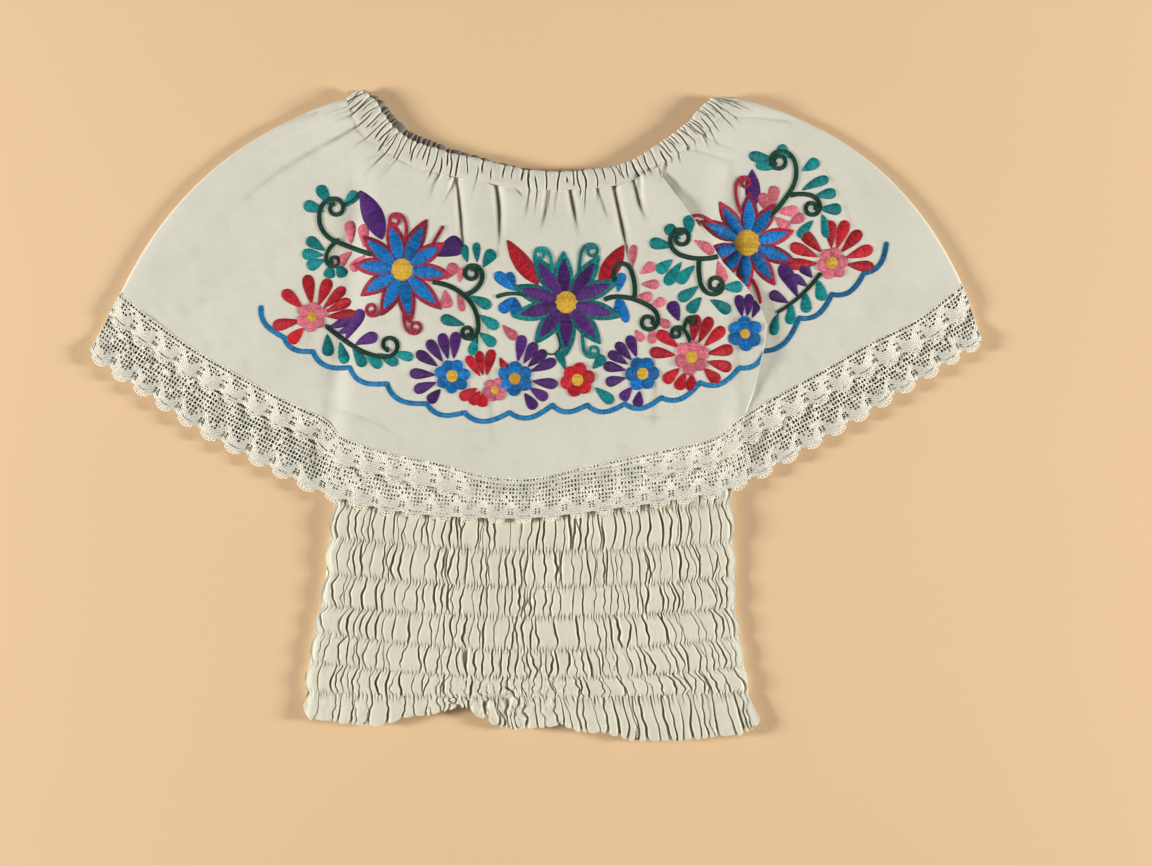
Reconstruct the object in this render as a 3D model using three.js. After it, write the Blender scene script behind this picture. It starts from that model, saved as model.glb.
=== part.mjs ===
// An off-shoulder top, laid flat on its back: a gathered neck casing, a wide embroidered
// flounce with a two-tier lace edge, and a shirred bodice.
// Millimetres, +Z up, neck towards +Y. The origin is on the surface under the middle of the
// garment. Every piece of cloth is a closed wall, and pieces stay SEAM apart where they are sewn.
import * as THREE from "three";

// ---------------------------------------------------------------- driving dimensions
const CLOTH = 1.4;            // thickness of the flounce's wall
const LACE = 1.2;             // thickness of a lace band
const SEAM = 0.3;             // gap left where two pieces meet
const BACK_BODICE = 2.4;      // back bodice wall, pressed flat where it lies
const CREASE_WALL = 1.1;      // front bodice wall at the bottom of a crease
const PUFF = 3.2;             // height of a shirred puff over its creases
const CASING = 5;             // thickness of one gathered neck casing, elastic inside

// Heights of the layers over the surface, outermost at the back first.
const BACK_BODICE_Z = CLOTH + SEAM;
const FRONT_INSIDE_Z = 4.4;   // plain inside of the front bodice over the back flounce
const STEP_DOWN = 1.7;        // both bodice walls drop this far past the back lace
const FOLD_Z = CASING + SEAM / 2;  // height of the fold between front and back at the neck
const SIDE_FOLD = [[0, FOLD_Z], [0.2, 3.2], [0.4, 2.4], [1, 2.4]];  // its height down the wings
const WING_Z = 5;             // outer face of the front flounce on the wings
const CHEST_Z = 10.6;         // the same over the plain top of the bodice
const SHIRRED_Z = 12.1;       // the same over the shirring
const LACE_WING_Z = { lower: 1.7, upper: 3.4, back: 0 };    // underside of each band of lace
const LACE_BODY_Z = { lower: 9.0, upper: 10.5, back: 0 };   // the same where it lies on the bodice
const ROLL = 5;               // width of the rolled side folds, seen from above
const BODY_EASE = [-22, 4];   // the flounce climbs onto the bodice between these distances

// Where each lace band starts and ends, as a share of the way from the hem to the lace's edge.
const LACE_SPAN = { lower: [0.16, 1], upper: [0.006, 0.44], back: [0.004, 0.96] };
const SCALLOPS = 39;          // lace scallops along the front hem
const SCALLOP_DEPTH = 0.06;   // their depth, as a share of the same way

// Stations across the garment, left to right: the casing's free edge, the neck seam, the cloth
// hem and the lace's edge, the sideways bow of the cloth between seam and hem, and how far the
// back neckline stands above the front one.
const [TOP_X, TOP_Y, SEAM_X, SEAM_Y, HEM_X, HEM_Y, EDGE_X, EDGE_Y, BOW, BACK_RISE] = [0, 1, 2, 3, 4, 5, 6, 7, 8, 9];
const STATIONS = [
  [-144, 261, -153, 254, -335, 98, -360, 50, 27, 0],
  [-132, 252, -148, 238, -313, 80, -340, 34, 24, 4],
  [-123, 238, -137, 222, -278, 55, -306, 11, 19, 6.4],
  [-112, 226, -123, 210, -241, 33, -269, -14, 13, 6.4],
  [-99, 218, -105, 200, -204, 13, -230, -35, 8, 6.4],
  [-84, 213, -88, 195, -171, -3, -197, -52, 4, 5.6],
  [-67, 208, -69, 191, -154, -18, -168, -65, 1, 4],
  [-48, 204, -49, 188, -116, -30, -126, -76, 0, 2.4],
  [-27, 199, -28, 183, -78, -38, -84, -81, 0, 0.8],
  [-4, 195, -4, 180, -41, -48, -44, -83, 0, -0.8],
  [20, 194, 20, 180, -4, -50, -6, -83, 0, -1.6],
  [44, 196, 45, 181, 32, -42, 34, -79, 0, -1.6],
  [64, 199, 68, 185, 70, -34, 72, -74, 0, -1.6],
  [83, 207, 89, 194, 108, -26, 111, -69, 0, -1.6],
  [98, 217, 107, 205, 141, -18, 148, -62, -2, -1.6],
  [112, 227, 122, 216, 162, -2, 176, -50, -5, -1.6],
  [124, 237, 134, 226, 190, 15, 212, -29, -10, -1.6],
  [132, 246, 144, 235, 228, 36, 252, -6, -16, -1.6],
  [139, 252, 152, 242, 266, 58, 291, 18, -22, -1.6],
  [143, 254, 157, 248, 304, 77, 328, 41, -26, -0.8],
  [148, 255, 160, 254, 341, 105, 357, 59, -29, 0],
];

// Rows of the bodice, neck to hem: its two sides, and its height at the left side, the middle
// and the right side. From "first" on, each row is a line of elastic shirring.
const [ROW_LEFT, ROW_RIGHT, ROW_Y_LEFT, ROW_Y_MIDDLE, ROW_Y_RIGHT] = [0, 1, 2, 3, 4];
const ARM_ROWS = [
  [-130, 134, 165, 152, 165],
  [-134, 136, 90, 80, 90],
  [-148, 144, 18, 12, 18],
];
const SHIRRED_ROWS = [
  [-158, 151, -42, -48, -42],
  [-161, 154, -72, -78, -72],
  [-165, 155, -98, -109, -102],
  [-168, 156, -127, -138, -130],
  [-172, 156, -153, -162, -155],
  [-177, 160, -174, -189, -178],
  [-181, 164, -198, -211, -202],
  [-185, 168, -222, -227, -222],
];
const SIDE_PUFF = 3.5;        // the sides bulge this far between two rows of elastic
const PLEATS = 36;            // puffs across one band of shirring
const PLEAT_LEAN = 3;         // how far a puff wanders sideways between its rows

// The front hem: x and y along it. The back hem is straight.
const HEM = [
  [-188, -241], [-158, -246], [-126, -247], [-110, -242], [-86, -239], [-70, -234], [-62, -230],
  [-50, -237], [-30, -250], [-6, -250], [18, -247], [34, -253], [52, -253], [82, -261],
  [106, -260], [130, -258], [162, -255], [179, -250],
];
const BACK_HEM_Y = -238;

// Soft folds of the front flounce: start, middle and end of each, its width, and its height
// (below zero it is a trough).
const FOLDS = [
  { from: [-144, 255], by: [-166, 252], to: [-190, 246], width: 4, height: -1.5 },
  { from: [-152, 246], by: [-180, 243], to: [-214, 232], width: 4, height: -1.5 },
  { from: [-132, 242], by: [-145, 240], to: [-158, 234], width: 3.5, height: -1.4 },
  { from: [-118, 234], by: [-190, 222], to: [-262, 148], width: 11, height: -1.7 },
  { from: [-86, 194], by: [-84, 186], to: [-80, 176], width: 5, height: -1.6 },
  { from: [-64, 191], by: [-61, 150], to: [-60, 92], width: 6, height: -2.2 },
  { from: [-34, 186], by: [-29, 165], to: [-32, 140], width: 5, height: -2.2 },
  { from: [10, 180], by: [8, 165], to: [4, 148], width: 5, height: -1.7 },
  { from: [26, 180], by: [29, 166], to: [32, 150], width: 5, height: -1.7 },
  { from: [47, 182], by: [53, 168], to: [60, 150], width: 5, height: -1.8 },
  { from: [60, 184], by: [67, 160], to: [76, 132], width: 5, height: -2 },
  { from: [77, 188], by: [81, 174], to: [86, 158], width: 4, height: -1.6 },
  { from: [122, 234], by: [136, 217], to: [168, 209], width: 5, height: -1.6 },
  { from: [116, 214], by: [138, 208], to: [162, 200], width: 5, height: -1.4 },
  { from: [158, 238], by: [192, 239], to: [228, 230], width: 4, height: -1.5 },
  { from: [-40, 70], by: [-38, 10], to: [-34, -40], width: 14, height: -1.6 },
  { from: [90, 60], by: [96, 10], to: [92, -24], width: 16, height: -1.4 },
  { from: [-150, 150], by: [-185, 90], to: [-190, 20], width: 20, height: -1.2 },
  { from: [232, 196], by: [262, 150], to: [268, 74], width: 22, height: -1.2 },
];

// The tuck: the cloth left of this line lies over the cloth right of it. Points of the line.
const TUCK = [[98, 190], [117, 164], [130, 146], [146, 122], [164, 104], [176, 88], [182, 72], [180, 56], [172, 20], [158, -20]];
const TUCK_HEIGHT = 3;        // step at the tuck
const TUCK_LIP = 7;           // width of the step
const TUCK_REACH = 34;        // the cloth rises to the step over this distance

// ---------------------------------------------------------------- small helpers
const clamp01 = (v) => Math.min(Math.max(v, 0), 1);
const mix = (a, b, share) => a + (b - a) * share;

function ease(from, to, v) {
  const share = clamp01((v - from) / (to - from));
  return share * share * (3 - 2 * share);
}

// A repeatable uneven number from 0 to 1 for the whole number n.
function uneven(n) {
  const v = Math.sin(n * 12.9898 + 4.1414) * 43758.5453;
  return v - Math.floor(v);
}

// The value of one column of a table at place 0 to 1, on a smooth curve through its rows.
function along(rows, column, place) {
  const last = rows.length - 1;
  const at = clamp01(place) * last;
  const row = Math.min(Math.floor(at), last - 1);
  const f = at - row;
  const value = (k) => {
    if (k < 0) return 2 * rows[0][column] - rows[1][column];
    if (k > last) return 2 * rows[last][column] - rows[last - 1][column];
    return rows[k][column];
  };
  const [a, b, c, d] = [value(row - 1), value(row), value(row + 1), value(row + 2)];
  return b + 0.5 * f * (c - a + f * (2 * a - 5 * b + 4 * c - d + f * (3 * (b - c) + d - a)));
}

// A table of [position, value] read at a position, on straight stretches.
function readTable(table, at) {
  let row = 1;
  while (row < table.length - 1 && table[row][0] < at) row += 1;
  const [x0, y0] = table[row - 1];
  const [x1, y1] = table[row];
  return mix(y0, y1, clamp01((at - x0) / (x1 - x0)));
}

// ---------------------------------------------------------------- where the cloth lies
const station = (s, x, y) => [along(STATIONS, x, s), along(STATIONS, y, s)];

// A point of the neck seam or of the casing's free edge; the back one stands a little higher.
function neckPoint(s, share, back = false) {
  const [sx, sy] = station(s, SEAM_X, SEAM_Y);
  const [tx, ty] = station(s, TOP_X, TOP_Y);
  const height = Math.hypot(tx - sx, ty - sy);
  const rise = back ? along(STATIONS, BACK_RISE, s) / height : 0;
  return [mix(sx, tx, share + rise), mix(sy, ty, share + rise)];
}

// A point of the flounce: s across it from left to right, t from the neck seam to the hem.
function flouncePoint(s, t, back = false) {
  const [nx, ny] = neckPoint(s, 0, back);
  const [hx, hy] = station(s, HEM_X, HEM_Y);
  const length = Math.hypot(hx - nx, hy - ny);
  const bow = (along(STATIONS, BOW, s) * 4 * t * (1 - t)) / length;
  return [mix(nx, hx, t) + (hy - ny) * bow, mix(ny, hy, t) - (hx - nx) * bow];
}

const BODY_SIDES = [...ARM_ROWS, ...SHIRRED_ROWS];

// How far a point is inside the bodice's two sides; below zero it is outside.
function insideBody(x, y) {
  const side = (column, yColumn) => readTable(BODY_SIDES.map((row) => [-row[yColumn], row[column]]), -y);
  return Math.min(x - side(ROW_LEFT, ROW_Y_LEFT), side(ROW_RIGHT, ROW_Y_RIGHT) - x);
}

const overBody = (x, y) => ease(BODY_EASE[0], BODY_EASE[1], insideBody(x, y));

// Height of one soft fold at a point.
function foldHeight(fold, x, y) {
  let nearest = Infinity;
  let place = 0;
  const steps = 12;
  for (let k = 0; k <= steps; k += 1) {
    const f = k / steps;
    const px = (1 - f) ** 2 * fold.from[0] + 2 * f * (1 - f) * fold.by[0] + f * f * fold.to[0];
    const py = (1 - f) ** 2 * fold.from[1] + 2 * f * (1 - f) * fold.by[1] + f * f * fold.to[1];
    const distance = Math.hypot(x - px, y - py);
    if (distance < nearest) [nearest, place] = [distance, f];
  }
  const fade = 1 - ease(0.45, 1, place);
  return fold.height * fade * Math.exp(-((nearest / fold.width) ** 2));
}

function tuckHeight(x, y) {
  const top = TUCK[0][1];
  const bottom = TUCK[TUCK.length - 1][1];
  if (y > top + TUCK_REACH || y < bottom) return 0;
  const line = readTable(TUCK.map(([tx, ty]) => [-ty, tx]), -y);
  const away = x - line;
  const shape = away < 0 ? Math.exp(-((away / TUCK_REACH) ** 2)) : 1 - ease(0, TUCK_LIP, away);
  const strength = ease(top + TUCK_REACH, top - 10, y) * ease(bottom, 60, y);
  return TUCK_HEIGHT * shape * strength;
}

// Outer face of the front flounce. Gathers run down from the neck seam and fade.
function flounceTop(x, y, t, column) {
  const body = mix(CHEST_Z, SHIRRED_Z, ease(20, -20, y));
  let z = mix(WING_Z, body, overBody(x, y));
  z = mix(CHEST_Z - 0.4, z, ease(0, 0.2, t));
  for (const fold of FOLDS) z += foldHeight(fold, x, y);
  z += tuckHeight(x, y);
  const gather = (column % 2 ? 0.8 : -0.8) * (0.4 + 0.6 * uneven(column));
  return z + gather * (1 - ease(0, 0.22, t));
}

// ---------------------------------------------------------------- closed solids
class Solid {
  constructor() {
    this.positions = [];
    this.faces = [];
  }

  point([x, y, z]) {
    this.positions.push(x, y, z);
    return this.positions.length / 3 - 1;
  }

  quad(a, b, c, d) {
    this.faces.push(a, b, c, a, c, d);
  }

  mesh(name, material) {
    const geometry = new THREE.BufferGeometry();
    geometry.setAttribute("position", new THREE.Float32BufferAttribute(this.positions, 3));
    geometry.setIndex(this.faces);
    geometry.computeVertexNormals();
    const mesh = new THREE.Mesh(geometry, material);
    mesh.name = name;
    return mesh;
  }
}

// A wall between two grids of points. Columns run left to right and rows neck to hem;
// upper(i, j) and lower(i, j) give the two faces.
function wall(columns, rows, upper, lower) {
  const solid = new Solid();
  const grid = (at) => Array.from({ length: columns + 1 }, (_, i) => (
    Array.from({ length: rows + 1 }, (__, j) => solid.point(at(i, j)))));
  const up = grid(upper);
  const down = grid(lower);
  for (let i = 0; i < columns; i += 1) {
    for (let j = 0; j < rows; j += 1) {
      solid.quad(up[i][j], up[i][j + 1], up[i + 1][j + 1], up[i + 1][j]);
      solid.quad(down[i][j], down[i + 1][j], down[i + 1][j + 1], down[i][j + 1]);
    }
    solid.quad(up[i][0], up[i + 1][0], down[i + 1][0], down[i][0]);
    solid.quad(up[i + 1][rows], up[i][rows], down[i][rows], down[i + 1][rows]);
  }
  for (let j = 0; j < rows; j += 1) {
    solid.quad(up[0][j + 1], up[0][j], down[0][j], down[0][j + 1]);
    solid.quad(up[columns][j], up[columns][j + 1], down[columns][j + 1], down[columns][j]);
  }
  return solid;
}

// ---------------------------------------------------------------- the flounce
const ROLL_ANGLES = [0, 30, 60].map(THREE.MathUtils.degToRad);

// Columns of a flounce panel: a rolled side fold, the open cloth, and the other side fold.
function flounceColumns(count) {
  const open = Array.from({ length: count + 1 }, (_, i) => ({ s: mix(0.02, 0.98, i / count), angle: null }));
  const left = ROLL_ANGLES.map((angle) => ({ s: 0, next: 0.02, angle }));
  const right = ROLL_ANGLES.map((angle) => ({ s: 1, next: 0.98, angle })).reverse();
  return [...left, ...open, ...right];
}

// Where a column's point lies in plan, and how far it has turned over the side fold.
function flouncePlan(column, t, back) {
  if (column.angle === null) return { at: flouncePoint(column.s, t, back), inward: [0, 0] };
  const [ex, ey] = flouncePoint(column.s, t, back);
  const [ix, iy] = flouncePoint(column.next, t, back);
  const reach = Math.hypot(ix - ex, iy - ey);
  const inward = [(ix - ex) / reach, (iy - ey) / reach];
  const away = ROLL * (1 - Math.cos(column.angle));
  return { at: [ex + inward[0] * away, ey + inward[1] * away], inward };
}

const BACK_ROWS = [0, 0.2, 0.4, 0.6, 0.8, 0.995];
const downTheCloth = (j, rows) => (j / rows) ** 1.35;

function flounceFront(material) {
  const list = flounceColumns(60);
  const rows = 12;
  const face = (i, j, inside) => {
    const column = list[i];
    const t = downTheCloth(j, rows);
    const { at: [x, y], inward } = flouncePlan(column, t, false);
    const top = flounceTop(x, y, t, i);
    if (column.angle === null) return [x, y, inside ? top - CLOTH : top];
    const low = readTable(SIDE_FOLD, t) + SEAM / 2;
    const turn = inside ? CLOTH : 0;
    const [sine, cosine] = [Math.sin(column.angle), Math.cos(column.angle)];
    return [x + inward[0] * cosine * turn, y + inward[1] * cosine * turn, mix(low, top, sine) - sine * turn];
  };
  return wall(list.length - 1, rows, (i, j) => face(i, j, false), (i, j) => face(i, j, true))
    .mesh("flounce_front", material);
}

function flounceBack(material) {
  const list = flounceColumns(30);
  const face = (i, j, inside) => {
    const column = list[i];
    const t = BACK_ROWS[j];
    const { at: [x, y], inward } = flouncePlan(column, t, true);
    if (column.angle === null) return [x, y, inside ? CLOTH : 0];
    const high = readTable(SIDE_FOLD, t) - SEAM / 2;
    const turn = inside ? CLOTH : 0;
    const [sine, cosine] = [Math.sin(column.angle), Math.cos(column.angle)];
    return [x + inward[0] * cosine * turn, y + inward[1] * cosine * turn, high * (1 - sine) + sine * turn];
  };
  return wall(list.length - 1, BACK_ROWS.length - 1, (i, j) => face(i, j, true), (i, j) => face(i, j, false))
    .mesh("flounce_back", material);
}

// ---------------------------------------------------------------- the neck casing
// Its section: share of the way from the seam to the free edge, and share of the thickness.
const CASING_SECTION = [[0, 0.78], [0.22, 1], [0.5, 0.9], [0.8, 1], [1, 0.5]];
const GATHER_DEPTH = 0.9;

function casing(name, back, count, material) {
  const base = back ? 0 : FOLD_Z + SEAM / 2;
  const last = CASING_SECTION.length - 1;
  const start = SEAM / 14;
  const plan = (i, share) => {
    const valley = i % 2 ? GATHER_DEPTH * (0.5 + 0.5 * uneven(i)) : 0;
    const [x, y] = neckPoint(i / count, mix(start, 1 - valley / 16, share), back);
    return { x, y, valley };
  };
  const upper = (i, j) => {
    const [share, height] = CASING_SECTION[last - j];
    const { x, y, valley } = plan(i, share);
    return [x, y, base + CASING * height - valley];
  };
  const lower = (i, j) => {
    const { x, y } = plan(i, CASING_SECTION[last - j][0]);
    return [x, y, base];
  };
  return wall(count, last, upper, lower).mesh(name, material);
}

// ---------------------------------------------------------------- the bodice
// Rows of points down the bodice. Each has a place between two rows of elastic, 0 to 1.
function bodiceRows(perBand) {
  const rows = [{ neck: true, between: 0, band: -1 }];
  ARM_ROWS.forEach((row) => rows.push({ row, next: row, between: 0, band: -1 }));
  SHIRRED_ROWS.forEach((row, band) => {
    const next = SHIRRED_ROWS[band + 1];
    const steps = next ? perBand : 1;
    for (let k = 0; k < steps; k += 1) rows.push({ row, next: next ?? row, between: k / steps, band });
  });
  const edge = SHIRRED_ROWS[SHIRRED_ROWS.length - 1];
  rows.push({ row: edge, next: edge, between: 0.5, band: SHIRRED_ROWS.length - 1, ruffle: true });
  rows.push({ hem: true, between: 0.5, band: SHIRRED_ROWS.length - 1 });
  return rows;
}

// A point of the bodice in plan: c across it from left to right.
function bodicePoint(line, c, back) {
  if (line.neck) return neckPoint(mix(0.06, 0.94, c), 0, back);
  const x = mix(HEM[0][0], HEM[HEM.length - 1][0], c);
  const hem = [x, back ? BACK_HEM_Y : readTable(HEM, x)];
  if (line.hem) return hem;
  const bulge = line.next === line.row ? 0 : Math.sin(Math.PI * line.between) * SIDE_PUFF;
  const value = (column) => mix(line.row[column], line.next[column], line.between);
  const sag = 1 - (2 * c - 1) ** 2;
  const ends = mix(value(ROW_Y_LEFT), value(ROW_Y_RIGHT), c);
  const y = ends + (value(ROW_Y_MIDDLE) - (value(ROW_Y_LEFT) + value(ROW_Y_RIGHT)) / 2) * sag;
  const at = [mix(value(ROW_LEFT) - bulge, value(ROW_RIGHT) + bulge, c), y];
  return line.ruffle ? [mix(at[0], hem[0], 0.5), mix(at[1], hem[1], 0.5)] : at;
}

// The bodice drops to the surface once it is past the back lace, the back a row sooner.
const STEP_BAND = 2;
function drop(line, back) {
  const down = line.band > STEP_BAND || (line.band === STEP_BAND && (back || line.between > 0));
  return down ? STEP_DOWN : 0;
}

function bodiceFront(material) {
  const rows = bodiceRows(3);
  const columns = PLEATS * 2;
  const last = rows.length - 1;
  const solid = new Solid();
  const insideZ = (j) => FRONT_INSIDE_Z - drop(rows[j], false);

  // Puffs swell between rows of elastic and are pinched at them; odd columns are crests.
  const outer = (i, j) => {
    const line = rows[j];
    const side = i === 0 || i === columns;
    const [x, y] = bodicePoint(line, i / columns, false);
    if (line.band < 0) return [x, y, insideZ(j) + CLOTH];
    const swell = Math.sin(Math.PI * line.between);
    const size = 0.75 + 0.25 * uneven(i + 97 * line.band);
    const crest = i % 2 ? PUFF * size * mix(0.4, 1, swell) : PUFF * 0.16 * (1 - swell);
    const lean = (uneven(i * 3 + 41 * line.band) - 0.5) * PLEAT_LEAN * swell;
    return [side ? x : x + lean, y, insideZ(j) + CREASE_WALL + (side ? 0 : crest)];
  };
  const inner = (i, j) => {
    const [x, y] = outer(i, j);
    return [x, y, insideZ(j)];
  };
  const up = Array.from({ length: columns + 1 }, (_, i) => rows.map((__, j) => solid.point(outer(i, j))));
  const rim = (j) => Array.from({ length: columns + 1 }, (_, i) => solid.point(inner(i, j)));
  const under = rows.map((_, j) => {
    if (j === 0 || j === last) return rim(j);
    return [solid.point(inner(0, j)), solid.point(inner(columns, j))];
  });
  const leftOf = (j) => under[j][0];
  const rightOf = (j) => under[j][under[j].length - 1];

  for (let i = 0; i < columns; i += 1) {
    for (let j = 0; j < last; j += 1) solid.quad(up[i][j], up[i][j + 1], up[i + 1][j + 1], up[i + 1][j]);
    solid.quad(up[i][0], up[i + 1][0], under[0][i + 1], under[0][i]);
    solid.quad(up[i + 1][last], up[i][last], under[last][i], under[last][i + 1]);
  }
  for (let j = 0; j < last; j += 1) {
    solid.quad(up[0][j + 1], up[0][j], leftOf(j), leftOf(j + 1));
    solid.quad(up[columns][j], up[columns][j + 1], rightOf(j + 1), rightOf(j));
  }
  // The plain inside: straight strips from side to side, and a fitted strip at either end.
  const strip = (outline) => {
    const flat = outline.map((k) => new THREE.Vector2(solid.positions[3 * k], solid.positions[3 * k + 1]));
    for (const [a, b, c] of THREE.ShapeUtils.triangulateShape(flat, [])) {
      const face = [outline[a], outline[b], outline[c]];
      const area = THREE.ShapeUtils.area([flat[a], flat[b], flat[c]]);
      solid.faces.push(...(area > 0 ? face.reverse() : face));
    }
  };
  strip([...under[0], rightOf(1), leftOf(1)]);
  strip([...under[last], rightOf(last - 1), rightOf(last - 2), leftOf(last - 2), leftOf(last - 1)]);
  for (let j = 1; j < last - 2; j += 1) solid.quad(leftOf(j), rightOf(j), rightOf(j + 1), leftOf(j + 1));
  return solid.mesh("bodice_front", material);
}

function bodiceBack(material) {
  const rows = bodiceRows(1);
  const columns = 36;
  const underside = (j) => BACK_BODICE_Z - drop(rows[j], true);
  const at = (i, j, height) => [...bodicePoint(rows[j], i / columns, true), underside(j) + height];
  return wall(columns, rows.length - 1, (i, j) => at(i, j, BACK_BODICE), (i, j) => at(i, j, 0))
    .mesh("bodice_back", material);
}

// ---------------------------------------------------------------- the lace
// A band of lace along the hem; its outer edge is scalloped.
function laceBand(name, band, material) {
  const perScallop = 3;
  const columns = SCALLOPS * perScallop;
  const [from, to] = LACE_SPAN[band];
  const at = (i, j, height) => {
    const s = mix(0.006, 0.994, i / columns);
    const [hx, hy] = station(s, HEM_X, HEM_Y);
    const [ex, ey] = station(s, EDGE_X, EDGE_Y);
    const lobe = Math.sin((Math.PI * (i % perScallop)) / perScallop);
    const outer = to - SCALLOP_DEPTH * (1 - lobe);
    const share = j === 0 ? from : outer;
    const climb = overBody((hx + ex) / 2, (hy + ey) / 2);
    const base = mix(LACE_WING_Z[band], LACE_BODY_Z[band], climb);
    return [mix(hx, ex, share), mix(hy, ey, share), base + height];
  };
  return wall(columns, 1, (i, j) => at(i, j, LACE), (i, j) => at(i, j, 0)).mesh(name, material);
}

// ---------------------------------------------------------------- the garment
const cotton = new THREE.MeshStandardMaterial({ color: 0xdad4c3, roughness: 0.92, metalness: 0 });
const shirring = new THREE.MeshStandardMaterial({ color: 0xcdc8b4, roughness: 0.92, metalness: 0 });
const thread = new THREE.MeshStandardMaterial({ color: 0xe1d7be, roughness: 0.85, metalness: 0 });

const garment = new THREE.Group();
garment.add(flounceBack(cotton));
garment.add(laceBand("lace_back", "back", thread));
garment.add(bodiceBack(shirring));
garment.add(bodiceFront(shirring));
garment.add(casing("neck_casing_back", true, 60, cotton));
garment.add(casing("neck_casing_front", false, 96, cotton));
garment.add(flounceFront(cotton));
garment.add(laceBand("lace_lower_front", "lower", thread));
garment.add(laceBand("lace_upper_front", "upper", thread));

export default garment;
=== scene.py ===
# %% [markdown]
# # An off-shoulder top in thick cotton, laid flat on its back
# The garment is a gathered neck casing, a wide embroidered flounce with two tiers of lace, and a
# bodice that rows of elastic shirr into puffs. Every piece of cloth is a thin closed shell that
# takes the place of a plain solid of the frame, so each shell is worked out from the same few
# measures as that solid, and only then gets its finer folds.

# %% Load the fixed frame
import math

import bpy
import numpy as np
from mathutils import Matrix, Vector
from mathutils.bvhtree import BVHTree


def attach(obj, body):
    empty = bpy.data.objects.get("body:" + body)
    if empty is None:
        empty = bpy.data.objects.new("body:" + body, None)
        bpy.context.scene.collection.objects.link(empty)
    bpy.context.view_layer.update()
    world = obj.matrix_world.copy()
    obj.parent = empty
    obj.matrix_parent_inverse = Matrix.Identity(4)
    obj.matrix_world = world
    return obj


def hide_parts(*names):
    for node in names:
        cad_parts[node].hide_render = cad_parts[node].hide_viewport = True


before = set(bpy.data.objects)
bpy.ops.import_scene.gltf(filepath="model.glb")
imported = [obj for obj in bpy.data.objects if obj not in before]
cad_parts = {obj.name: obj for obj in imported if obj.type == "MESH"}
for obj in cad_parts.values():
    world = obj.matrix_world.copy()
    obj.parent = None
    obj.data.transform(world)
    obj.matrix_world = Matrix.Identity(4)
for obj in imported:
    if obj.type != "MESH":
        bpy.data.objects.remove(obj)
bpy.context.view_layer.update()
scene = bpy.context.scene
scene.view_settings.view_transform = "Standard"
MM = 0.001
print("frame nodes:", sorted(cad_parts))

# %% [markdown]
# ## Camera, floor and light
# A garment laid flat is best seen from straight above. The camera looks down the Z axis, and
# its height follows from the width of floor that it takes in. Two strong lights stand low, far out
# on the left and on the right, so that they rake over the creases and show every one. A weak light
# overhead and a pale world keep the shadows open.

# %% Camera
# In metres: the sensor's width, the lens, and the width and the middle of the floor that it sees.
SENSOR = 0.036
LENS = 0.050
VIEW_WIDTH = 0.9216
VIEW_CENTRE = (0.0308, -0.014, 0.008)


def add_camera():
    height = VIEW_WIDTH * LENS / SENSOR
    at = (VIEW_CENTRE[0], VIEW_CENTRE[1], VIEW_CENTRE[2] + height)
    bpy.ops.object.select_all(action="DESELECT")
    bpy.ops.object.camera_add(location=at, rotation=(0, 0, 0))
    camera = bpy.context.object
    camera.data.sensor_width = SENSOR * 1000
    camera.data.lens = LENS * 1000
    scene.camera = camera
    return height


print("camera height over the cloth:", round(add_camera(), 3), "m")


# %% Nodes helper
WAVE_TO_METRES = math.tau / 20      # a wave texture's scale for bands one metre apart


class Finish:
    """A material built up node by node. Sockets go by name, or by number where names repeat."""

    def __init__(self, name):
        self.material = bpy.data.materials.new(name)
        self.material.use_nodes = True
        self.tree = self.material.node_tree
        self.shader = self.tree.nodes["Principled BSDF"]
        self.where = self.add("TexCoord").outputs["Object"]

    def feed(self, node, inputs):
        """Wires outputs into a node's sockets, and sets the sockets that get plain values."""
        for key, value in inputs.items():
            if hasattr(value, "links"):
                self.tree.links.new(value, node.inputs[key])
            else:
                node.inputs[key].default_value = value

    def add(self, kind, inputs=None, **settings):
        node = self.tree.nodes.new("ShaderNode" + kind)
        for key, value in settings.items():
            setattr(node, key, value)
        self.feed(node, inputs or {})
        return node

    def noise(self, scale, detail=2, roughness=0.5, output="Fac"):
        inputs = {"Vector": self.where, "Scale": scale, "Detail": detail, "Roughness": roughness}
        return self.add("TexNoise", inputs).outputs[output]

    def stripes(self, way, vector, pitch, distortion):
        """Soft bands that lie one pitch apart."""
        inputs = {"Vector": vector, "Scale": WAVE_TO_METRES / pitch, "Distortion": distortion, "Detail": 1}
        return self.add("TexWave", inputs, bands_direction=way).outputs["Fac"]

    def math(self, operation, *values):
        return self.add("Math", dict(enumerate(values)), operation=operation).outputs[0]

    def remap(self, value, start, end, low, high):
        return self.add("MapRange", dict(enumerate((value, start, end, low, high)))).outputs[0]

    def attribute(self, name):
        return self.add("Attribute", attribute_name=name).outputs["Fac"]

    def thread_uv(self):
        return self.add("UVMap", uv_map="thread").outputs["UV"]

    def bump(self, strength, distance, height):
        node = self.add("Bump", {"Strength": strength, "Distance": distance, "Height": height})
        self.feed(self.shader, {"Normal": node.outputs["Normal"]})

    def ramp(self, value, colour, places, tones, lift=0.0):
        """The colour made darker where the value is low and paler where it is high."""
        node = self.add("ValToRGB", {"Fac": value})
        dark = [c * tones[0] for c in colour]
        pale = [min(c * tones[1] + lift, 1) for c in colour]
        for stop, place, tone in zip(node.color_ramp.elements, places, (dark, pale)):
            stop.position = place
            stop.color = [*tone, 1]
        return node.outputs["Color"]

    def shade(self, plain, deep, amount):
        """The plain colour, turned into a painted shade colour where the amount is high, as base colour.
        """
        node = self.add("Mix", {0: amount, 6: plain, 7: [*deep, 1]}, data_type="RGBA")
        self.feed(self.shader, {"Base Color": node.outputs[2]})


# %% Floor
FLOOR_COLOUR = (0.83, 0.565, 0.32)
FLOOR_SIZE, FLOOR_Z = 8, -0.0003


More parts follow.
